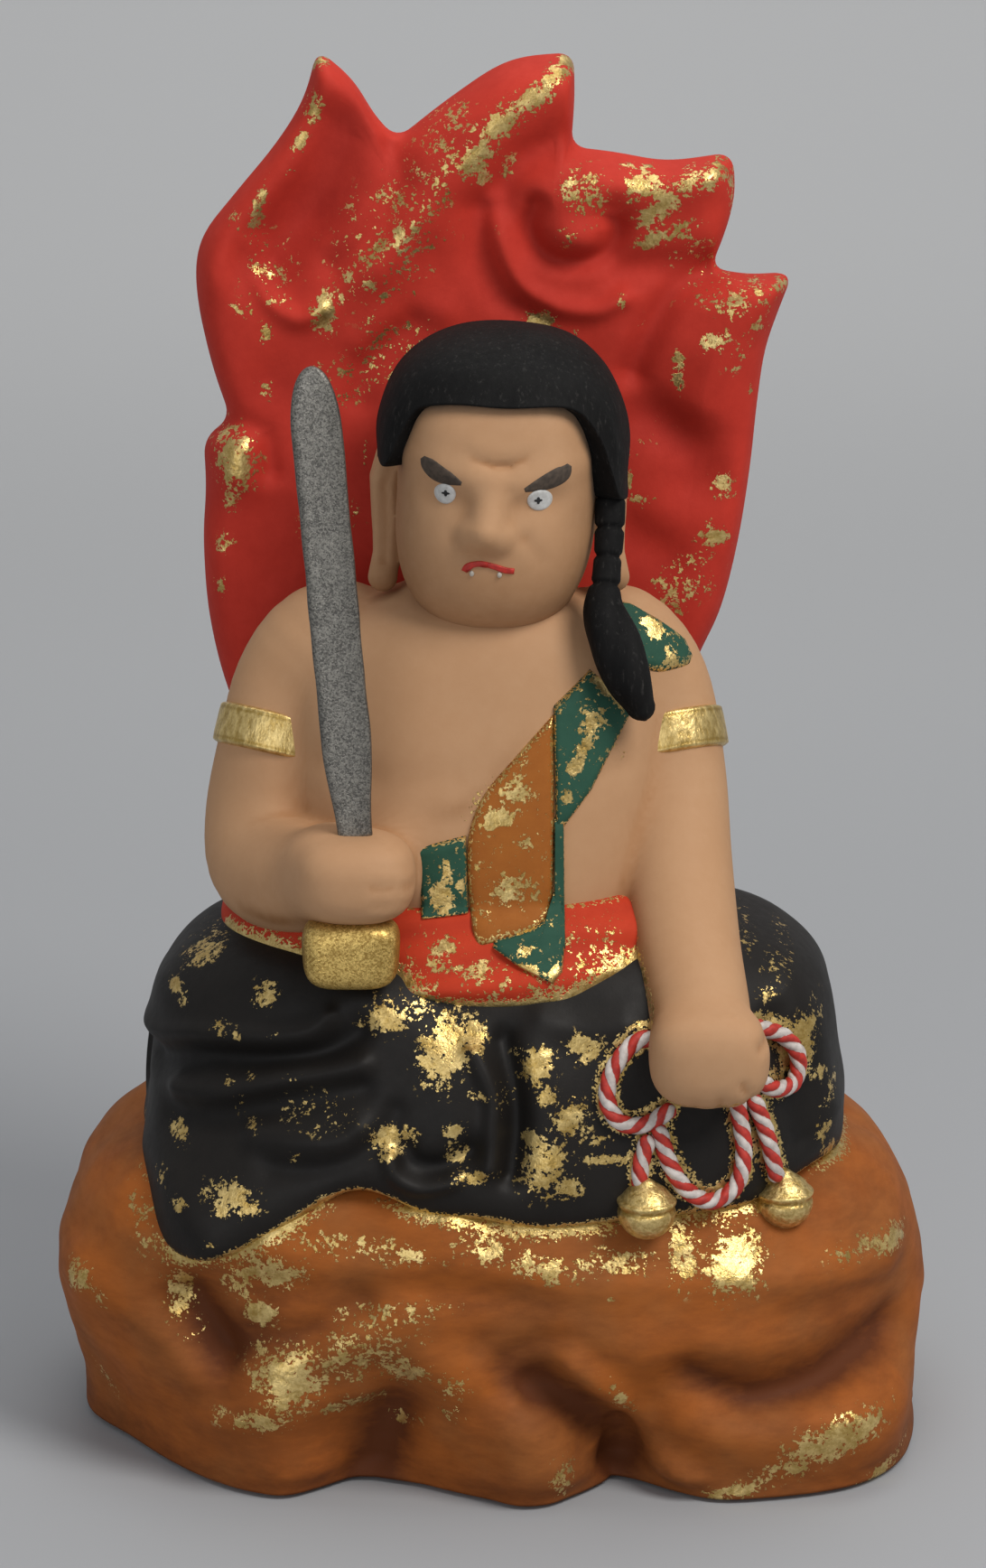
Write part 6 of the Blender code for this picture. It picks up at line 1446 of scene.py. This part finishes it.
def make_chest():
    """Distance field of the bare torso and the waist band, for the chest sash to lie on."""
    chest = Clay(LAP_PLACE + mm(-40, -45, -16), LAP_PLACE + mm(40, 4, 62), 0.8 * MM)
    chest.add(torso_distance(chest))
    level = (chest.z - LAP).astype(float)
    dx, dy = chest.x - TORSO_X, chest.y - TORSO_Y
    waist = np.hypot(dx, dy) - waist_reach(np.arctan2(dy, dx) + 0 * level, level)
    waist = np.maximum(waist, np.maximum(level - WAIST_HIGH, WAIST_LOW - level))
    chest.add(waist.astype(np.float32), 1.5 * MM)
    return chest


# Hair and braid

HAIR_HALF = HEAD_HALF + mm(5.3, 3.2, 2.8)
HAIR_MIDDLE = HEAD + mm(0.5, 0, 0)
HAIR_POWER = 2.62
HAIR_ROWS, HAIR_COLUMNS, HAIR_ROLL_ROWS = 120, 420, 13
# Hair's lower edge above the middle of the head in mm, by angle from the front in degrees
HAIRLINE = (
    (-180, -11), (-130, -10), (-112, -3), (-102, 4), (-92, 9), (-80, 8.2), (-68, 6.4), (-59, 5.6),
    (-53, 7.4), (-48.5, 11.4), (-44, 14.4), (-38, 16), (-22, 16.8), (-3, 16.8), (25, 16.3), (36, 15),
    (41, 13), (46, 9.6), (50.5, 4.6), (56, 0.4), (62, -1), (75, -2), (96, -1), (112, -5), (130, -10),
    (180, -11),
)


def make_hair():
    """Rows from the crown to the hairline over a swollen head shape, then rolled under to the scalp."""
    turn = np.linspace(-180, 180, HAIR_COLUMNS, endpoint=False)
    edge = np.interp(turn, *spline(HAIRLINE, 400).T) * MM
    lowest = np.arcsin(np.clip(edge / HAIR_HALF[2], -0.95, 0.95))
    down = np.linspace(0.004, 1, HAIR_ROWS)[:, None]
    elevation = math.pi / 2 + (lowest - math.pi / 2) * down
    direction = around(np.radians(turn - 90), np.cos(elevation), np.sin(elevation))
    size = (np.abs(direction / HAIR_HALF) ** HAIR_POWER).sum(axis=-1) ** (-1 / HAIR_POWER)
    place = direction * (size * (1 - 0.03 * smoothstep(0.75, 1.0, down)))[..., None]
    roll = np.linspace(0, 1, HAIR_ROLL_ROWS + 1)[1:, None, None]
    under = np.repeat(place[-1:], HAIR_ROLL_ROWS, axis=0)
    under[..., :2] *= 1 - 0.34 * roll**2.2
    under[..., 2:] -= 0.5 * MM * np.sin(roll * math.pi) ** 0.7
    place = np.concatenate([place, under])
    points = HAIR_MIDDLE + place
    points = points + wander(points, 12 * MM, 0.15 * MM, 21)[..., None] * unit(place)
    # Painted shade on the hair's edge rolled under towards the scalp.
    crease = np.concatenate([np.zeros(HAIR_ROWS), roll.ravel()])[:, None]
    hair = add_shell("hair_cap_brushed", points, crease=np.broadcast_to(crease, points.shape[:2]))
    dress(hair, HAIR_PAINT, "hair_black", "hair_cap")


# Braid from the temple over the left shoulder: place from the middle of the head, and radius, in mm
BRAID = mm(
    (15, -1, 18, 2.4), (17.8, -3.4, 11, 3.2), (18.9, -6.5, 3, 2.8), (19, -9.5, -6, 2.6),
    (18.4, -12.6, -14.5, 2.5), (18, -15.4, -20, 3.9), (20, -18, -25.5, 4.6), (22.4, -19.5, -31, 4.1),
    (24.2, -19.8, -35.4, 2.7),
)
BRAID_TIES = mm(-1.5, -6.5, -11.1, -15.7)
BRAID_TWIST = 0.22 * MM


def make_braid():
    """A tapering round section with tied waists and twisted strands in the tail."""
    run = spline(BRAID, 190)
    ties = sum(bell((run[:, 2] - tie) / (0.45 * MM)) for tie in BRAID_TIES)
    radius = run[:, 3] * (1 - 0.2 * ties)
    grid, ring, along, angle = tube(HEAD + run[:, :3], radius, 56, (1.0, 0.2, 0))
    tail = smoothstep(-14 * MM, -20 * MM, grid[..., 2] - HEAD[2])
    twist = np.cos(3 * angle[None] + along[:, None] / (3.2 * MM)) * BRAID_TWIST * tail
    grid = grid + ring * (twist - 0.2 * MM * tail)[..., None]
    tied = np.pad(np.clip(ties, 0, 1), CAP_ROWS)[:, None]
    # Painted shade at the ties and in the grooves between the strands.
    crease = np.clip(tied * 0.9 + part_of(-twist, BRAID_TWIST) * 0.5, 0, 1)
    dress(add_shell("side_braid_tied", grid, crease=crease), HAIR_PAINT, "hair_black", "side_braid")


# Armlets

ARMLET_RISE = 31 * MM
ARMLET_HEIGHT = 7.5 * MM
ARMLET_STAND, ARMLET_BEAD, ARMLET_SINK = 1.35 * MM, 0.25 * MM, 0.35 * MM


def make_armlet(node, path):
    """A rounded band carried round the upper arm at right angles to it, with a bead along each edge."""
    run = spline(path, 300)
    spot = np.argmin(np.abs(run[:, 2] - ARMLET_RISE))
    heading = unit(run[spot + 4, :3] - run[spot - 4, :3])
    side = unit(np.cross(heading, (0, 1, 0)))
    up = np.cross(side, heading)
    angle = circle(160)[:, None]
    outward = np.cos(angle) * side + np.sin(angle) * up
    t = np.linspace(-1, 1, 41)[:, None, None]
    profile = ARMLET_STAND * (1 - t**8) + ARMLET_BEAD * bell((np.abs(t) - 0.86) / 0.1)
    reach = run[spot, 3] - ARMLET_SINK + profile
    grid = LAP_PLACE + run[spot, :3] + t * ARMLET_HEIGHT / 2 * heading + reach * outward
    # Painted shade in the grooves inside the beads.
    crease = np.broadcast_to(bell((np.abs(t[..., 0]) - 0.7) / 0.07) * 0.5, grid.shape[:2])
    dress(add_shell(node + "_gilt", grid, crease=crease), FOIL_PAINT, "gold_paint", node)


# Sword

BLADE_LENGTH, BLADE_HALF, BLADE_HEEL, BLADE_THICK = mm(80, 4.2, 2.9, 1.5)
TANG_LENGTH, TANG_HALF, TANG_THICK, TANG_GAP = mm(10.8, 2.2, 1.35, 0.15)
TANG_ROWS = 10
TIP_HALF = 0.15 * MM
# Share of the length at which the point starts, and how round it is
POINT_START, POINT_POWER = 0.86, 2.2
SWORD_LEAN, SWORD_TILT = math.radians(4.8), math.radians(2.0)
SWORD_HEEL = RIGHT_FIST + mm(0, 0, 7.25)


def make_sword():
    """A flattened lens section whose half-width opens from the heel and closes in a rounded point."""
    across = np.array((math.cos(SWORD_LEAN), 0, math.sin(SWORD_LEAN)))
    upright = (-math.sin(SWORD_LEAN), 0, math.cos(SWORD_LEAN))
    up = np.array(upright) * math.cos(SWORD_TILT) + (0, math.sin(SWORD_TILT), 0)
    bend = np.linspace(0, math.pi / 2, 40)[1:]
    v = np.concatenate([np.linspace(0, 0.9, 120), 0.9 + 0.1 * np.sin(bend)])
    point = np.sqrt(np.clip(1 - part_of(v - POINT_START, 1 - POINT_START) ** POINT_POWER, 0, 1))
    width = (BLADE_HEEL + (BLADE_HALF - BLADE_HEEL) * smoothstep(0, 0.2, v)) * point
    length = np.concatenate([np.linspace(-TANG_LENGTH, -TANG_GAP, TANG_ROWS), v * BLADE_LENGTH])
    width = np.concatenate([np.full(TANG_ROWS, TANG_HALF), np.maximum(width, TIP_HALF)])
    depth = np.concatenate([np.full(TANG_ROWS, TANG_THICK), BLADE_THICK * (0.35 + 0.65 * point)])
    flat, lens = signed_power(np.cos(circle(72)), 0.75), signed_power(np.sin(circle(72)), 0.6)
    grid = SWORD_HEEL + length[:, None, None] * up + (width[:, None] * flat)[..., None] * across
    grid = grid + (depth[:, None] * lens)[..., None] * np.cross(up, across)
    grid = grid + wander(grid, 8 * MM, 0.08 * MM, 31)[..., None] * across
    # Painted shade along the blade's two edges.
    crease = np.broadcast_to((np.abs(flat) > 0.93) * 0.25, grid.shape[:2])
    blade = add_shell("sword_glitter", grid, crease=crease)
    dress(blade, BLADE_PAINT, "silver_paint", "sword_blade", body="sword")


def make_pommel():
    """A plain cushion: a squared ball with broad flat faces, darker round its edge."""
    low, high = low_of("sword_pommel"), high_of("sword_pommel")
    centre, half = (low + high) / 2 - mm(0, 0, 0.4), (high - low) / 2
    v = np.linspace(0.004, 0.996, 90)[:, None] * math.pi - math.pi / 2
    u = circle(150)[None]
    x = signed_power(np.cos(v), 0.5) * signed_power(np.cos(u), 0.55)
    y = signed_power(np.cos(v), 0.5) * signed_power(np.sin(u), 0.55)
    z = signed_power(np.sin(v), 0.55) + 0 * u
    grid = centre + np.stack([x * (1 + 0.05 * z), y, z], axis=-1) * half
    # The darker rim, carried on the crease shade attribute, is the pommel's own brown border.
    rim = smoothstep(0.84, 1.0, np.maximum(np.abs(x), -z)) * 0.8
    dress(add_shell("sword_pommel_gilt", grid, crease=rim), GILT_PAINT, "gold_paint", "sword_pommel")


# Lasso and bells

ROPE_SINK, ROPE_TWIST = 0.5 * MM, 0.26 * MM
SKIN_REACH = 1.2 * MM
DEPTH_SPAN = 8
BELL_RADIUS, BELL_DEPTH = 5 * MM, 5.1 * MM


def front_of(skin, x, z):
    """Depth of the nearest skin behind each place: the least y among the skin's points close to it."""
    gap = np.hypot(skin[None, :, 0] - x[:, None], skin[None, :, 2] - z[:, None])
    return np.where(gap < SKIN_REACH, skin[None, :, 1], 0).min(axis=1)


def make_lasso(skin):
    """Each stretch follows the cloth at half its thickness; two strands twist round it under slanting
    bands."""
    span = 2 * DEPTH_SPAN + 1
    for node, points in LASSO.items():
        route = spline(points, 14 * len(points))
        depth = np.pad(front_of(skin, *route.T), DEPTH_SPAN, mode="edge")
        depth = np.convolve(depth, np.ones(span) / span, mode="valid") - ROPE_RADIUS + ROPE_SINK
        line = np.stack([route[:, 0], depth, route[:, 1]], axis=1)
        grid, ring, along, angle = tube(line, ROPE_RADIUS - 0.1 * MM, 40, (0, 1, 0))
        phase = 2 * angle[None] - 2 * math.pi * along[:, None] / ROPE_LAY
        strand = np.abs(np.cos(phase)) ** 0.8
        grid = grid + ring * ((strand - 0.7) * ROPE_TWIST)[..., None]
        dust = 0.5 * smoothstep(0.2, 0.9, ring[..., 1])
        # Painted shade in the grooves between the strands.
        crease = smoothstep(0.35, 0.05, strand)
        rope = add_shell(node + "_twisted", grid, band=np.cos(phase), crease=crease, dust=dust)
        dress(rope, ROPE_PAINT, "rope_paint", node)


def make_bell(node, twist):
    """A turned ball with a rolled rib above its middle, a loop boss on top and a slot across its foot."""
    low, high = low_of(node), high_of(node)
    centre = (low + high) / 2
    centre[1] = low[1] + BELL_DEPTH
    v = np.linspace(0.006, 0.994, 110)[:, None] * math.pi
    u = circle(140)[None]
    degrees = np.degrees(v)
    groove = bell((degrees - 82) / 5)
    slot = bell(np.sin(u + twist) * np.sin(v) / 0.07) * smoothstep(118, 135, degrees)
    rib, boss = 0.42 * MM * bell((degrees - 70) / 6), 0.7 * MM * bell((degrees - 4) / 12)
    radius = BELL_RADIUS + rib - 0.3 * MM * groove + boss - 0.9 * MM * slot
    grid = centre + around(u, np.sin(v), np.cos(v)) * radius[..., None]
    # Painted shade in the groove and the slot.
    crease = groove * 0.6 + slot * 0.9
    dress(add_shell(node + "_gilt", grid, crease=crease), BELL_PAINT, "gold_paint", node)


# Painted features of the face: lines and widths from the middle of the head in mm

RIGHT_BROW = ((-12.9, 7.5, 0.9), (-12, 6.5, 2.6), (-10.4, 5.2, 3.1), (-8.4, 4.4, 2.4), (-6.3, 3.7, 0.7))
LEFT_BROW = ((11.9, 6.4, 0.9), (10.9, 5.2, 2.8), (9.2, 4.3, 3.1), (7, 3.5, 2.4), (4.3, 2.7, 0.7))
LIPS = (
    (-5.9, -11.5, 1), (-5.2, -10.5, 1.1), (-3.1, -10, 1), (-0.9, -10.5, 1), (1.1, -11.2, 1.1),
    (2.6, -11.4, 1),
)
RIBBON_STEPS, OVAL_STEPS = 40, 48


def oval(x, z, reach_x, reach_z, reach=1.0):
    """Points round a middle: the two reaches times the cosine and the sine of even angles."""
    angle = circle(OVAL_STEPS)
    return np.stack([x + reach_x * reach * np.cos(angle), z + reach_z * reach * np.sin(angle)], axis=1)


def blot(x, z, reach_x, reach_z):
    """A small four-pointed oval."""
    return oval(x, z, reach_x, reach_z, 0.55 + 0.45 * np.abs(np.cos(2 * circle(OVAL_STEPS))) ** 1.5)


def ribbon(line):
    """Outline of a brush stroke: a line offset to each side by a width that changes along it."""
    run = spline(line, RIBBON_STEPS)
    heading = unit(np.gradient(run[:, :2], axis=0))
    side = np.stack([-heading[:, 1], heading[:, 0]], axis=1) * run[:, 2:] / 2
    return np.vstack([run[:, :2] + side, (run[:, :2] - side)[::-1]])


def make_face(clay):
    """Each feature is an outline laid on the face, with its thickness in mm and its dome."""
    (right_x, right_z), (left_x, left_z) = EYES
    mouth = ribbon(LIPS)
    middle = RIBBON_STEPS // 2
    right_lip = np.vstack([mouth[:middle + 1], mouth[-middle - 1:]])
    left_lip = mouth[middle - 1:-middle + 1]
    features = (
        ("right_eye", oval(right_x, right_z, 1.85, 1.8), EYE_WHITE, 0.3, 1.4),
        ("left_eye", oval(left_x, left_z, 2.15, 1.9), EYE_WHITE, 0.3, 1.4),
        ("right_pupil", blot(right_x + 0.1, right_z + 0.15, 0.85, 0.7), PUPIL_INK, 0.8, 0),
        ("left_pupil", blot(left_x - 0.25, left_z, 0.85, 0.8), PUPIL_INK, 0.8, 0),
        ("right_brow", ribbon(RIGHT_BROW), BROW_WASH, 0.2, 0),
        ("left_brow", ribbon(LEFT_BROW), BROW_WASH, 0.2, 0),
        ("lip_right", right_lip, LIP_RED, 0.35, 0),
        ("lip_left", left_lip, LIP_RED, 0.35, 0),
        ("right_fang", oval(-4.6, -11.8, 0.42, 0.55), FANG_WHITE, 0.3, 0.6),
        ("left_fang", oval(0.1, -12, 0.42, 0.55), FANG_WHITE, 0.3, 0.6),
    )
    for name, outline, paint, thickness, dome in features:
        place = outline * MM + HEAD[[0, 2]]
        grid, _ = make_patch(clay, place, thickness * MM, rows=8, roll=0.35, dome=dome, sink=0.3 * MM)
        dress(add_shell(name, grid), paint, "clay_flesh")


# Light, backdrop and camera

CAMERA_ELEVATION = math.radians(16)
CAMERA_DISTANCE = 0.75
CAMERA_AIM = 0.115
IMAGE_TALL = 1736
FOCAL_PIXELS = 4687.5
SENSOR = 36
SWEEP_PROFILE = ((-1.2, 0), (-0.2, 0), (0.5, 0), (0.95, 0.06), (1.15, 0.4), (1.2, 1.4))
SWEEP_HALF, SWEEP_ROWS, SWEEP_COLUMNS = 1.6, 80, 24
# Paper colour at the front of the floor and up the back: a painted shade and a painted light.
PAPER_NEAR_SHADE, PAPER_FAR_LIGHT = (0.35, 0.36, 0.375), (0.6, 0.605, 0.61)
ROOM_COLOUR, ROOM_STRENGTH = (0.95, 0.97, 1.0, 1), 0.4
# Place and aim in metres, width, power in watts and colour
LAMPS = (
    ("window_key", (0.52, -0.46, 0.9), (0, 0, 0.12), 0.5, 7.6, (1.0, 0.97, 0.93)),
    ("wall_fill", (-0.3, -0.9, 0.3), (0, 0, 0.12), 0.7, 1.8, (0.95, 0.97, 1.0)),
    ("top_wash", (0, 0.25, 1.0), (0, 0.05, 0.1), 0.7, 2.6, (1.0, 0.99, 0.97)),
)


def make_backdrop():
    """A pale sheet that runs back along the floor and sweeps up behind. Its paint goes from a painted shade
    on the floor near the front to a painted light up the back.
    """
    y, z = spline(SWEEP_PROFILE, SWEEP_ROWS).T[..., None]
    x = np.linspace(-SWEEP_HALF, SWEEP_HALF, SWEEP_COLUMNS)
    points = np.stack(np.broadcast_arrays(x, y, z), axis=-1).reshape(-1, 3)
    index = np.arange(len(points)).reshape(SWEEP_ROWS, SWEEP_COLUMNS)
    corners = (index[:-1, :-1], index[:-1, 1:], index[1:, 1:], index[1:, :-1])
    sheet = add_mesh("paper_sweep", points, np.stack(corners, axis=-1).reshape(-1, 4))
    paint = Paint("pale_paper")
    depth = paint.node("ShaderNodeSeparateXYZ", {}, {0: paint.place}, "Y")
    # Painted shade and light: darker towards the front, paler towards the back.
    tone = paint.mix(depth.step(0.1, 1.1), PAPER_NEAR_SHADE, PAPER_FAR_LIGHT)
    sheet.data.materials.append(paint.finish(Base_Color=tone, Roughness=0.9))


def add_area(name, place, aim, size, power, colour):
    """A round lamp turned to the place that it is aimed at."""
    lamp = bpy.data.lights.new(name, "AREA")
    lamp.shape, lamp.size, lamp.energy, lamp.color = "DISK", size, power, colour
    thing = bpy.data.objects.new(name, lamp)
    bpy.context.scene.collection.objects.link(thing)
    thing.location = place
    thing.rotation_euler = (Vector(aim) - Vector(place)).to_track_quat("-Z", "Y").to_euler()


def make_light():
    """A pale room, a key light from the figure's left, a weak fill from its right and a wash from above."""
    world = bpy.data.worlds.new("soft_room")
    world.use_nodes = True
    room = world.node_tree.nodes["Background"]
    room.inputs["Color"].default_value = ROOM_COLOUR
    room.inputs["Strength"].default_value = ROOM_STRENGTH
    bpy.context.scene.world = world
    for lamp in LAMPS:
        add_area(*lamp)


def make_camera():
    """The photograph's view: a long lens above the height of the head, aimed at the figure's middle."""
    lens = bpy.data.cameras.new("photo_view")
    lens.sensor_fit = "AUTO"
    lens.sensor_width = SENSOR
    lens.lens = SENSOR * FOCAL_PIXELS / IMAGE_TALL
    lens.clip_start = 0.01
    camera = bpy.data.objects.new("photo_view", lens)
    bpy.context.scene.collection.objects.link(camera)
    back = CAMERA_DISTANCE * math.cos(CAMERA_ELEVATION)
    rise = CAMERA_DISTANCE * math.sin(CAMERA_ELEVATION)
    camera.location = (0, -back, CAMERA_AIM + rise)
    camera.rotation_euler = (math.pi / 2 - CAMERA_ELEVATION, 0, 0)
    bpy.context.scene.camera = camera


BODY_NODES = ("torso", "right_arm", "right_fist", "left_arm", "left_hand")
HEAD_NODES = ("head", "right_ear", "left_ear")
BODY_HOLLOW, HEAD_HOLLOW = mm(0.045, 0.06)


def main():
    """Makes the pieces in an order in which each can lie on those before it."""
    hem, skirt = make_skirt()
    rock = make_rock(hem)
    make_halo()
    make_waist(skirt)
    body, points, faces = make_body()
    flesh_piece(
        "bare_body", points, faces, BODY_HOLLOW, BODY_NODES,
        dust=skin_lines(points, BODY_DUST), blush=skin_lines(points, BODY_STAINS_AND_SHADE), wash=np.zeros(len(points)),
    )
    head, points, faces = make_head()
    blush, wash = face_tints(points)
    flesh_piece(
        "stern_head", points, faces, HEAD_HOLLOW, HEAD_NODES,
        dust=np.zeros(len(points)), blush=blush, wash=wash,
    )
    make_face(head)
    make_hair()
    make_braid()
    make_sashes(make_chest(), body)
    make_armlet("right_armlet", RIGHT_ARM)
    make_armlet("left_armlet", LEFT_ARM)
    make_sword()
    make_pommel()
    make_lasso(np.vstack([skirt, rock]))
    make_bell("left_bell", 0.3)
    make_bell("right_bell", -0.4)
    make_backdrop()
    make_light()
    make_camera()
    bpy.context.scene.view_settings.view_transform = "Standard"


main()
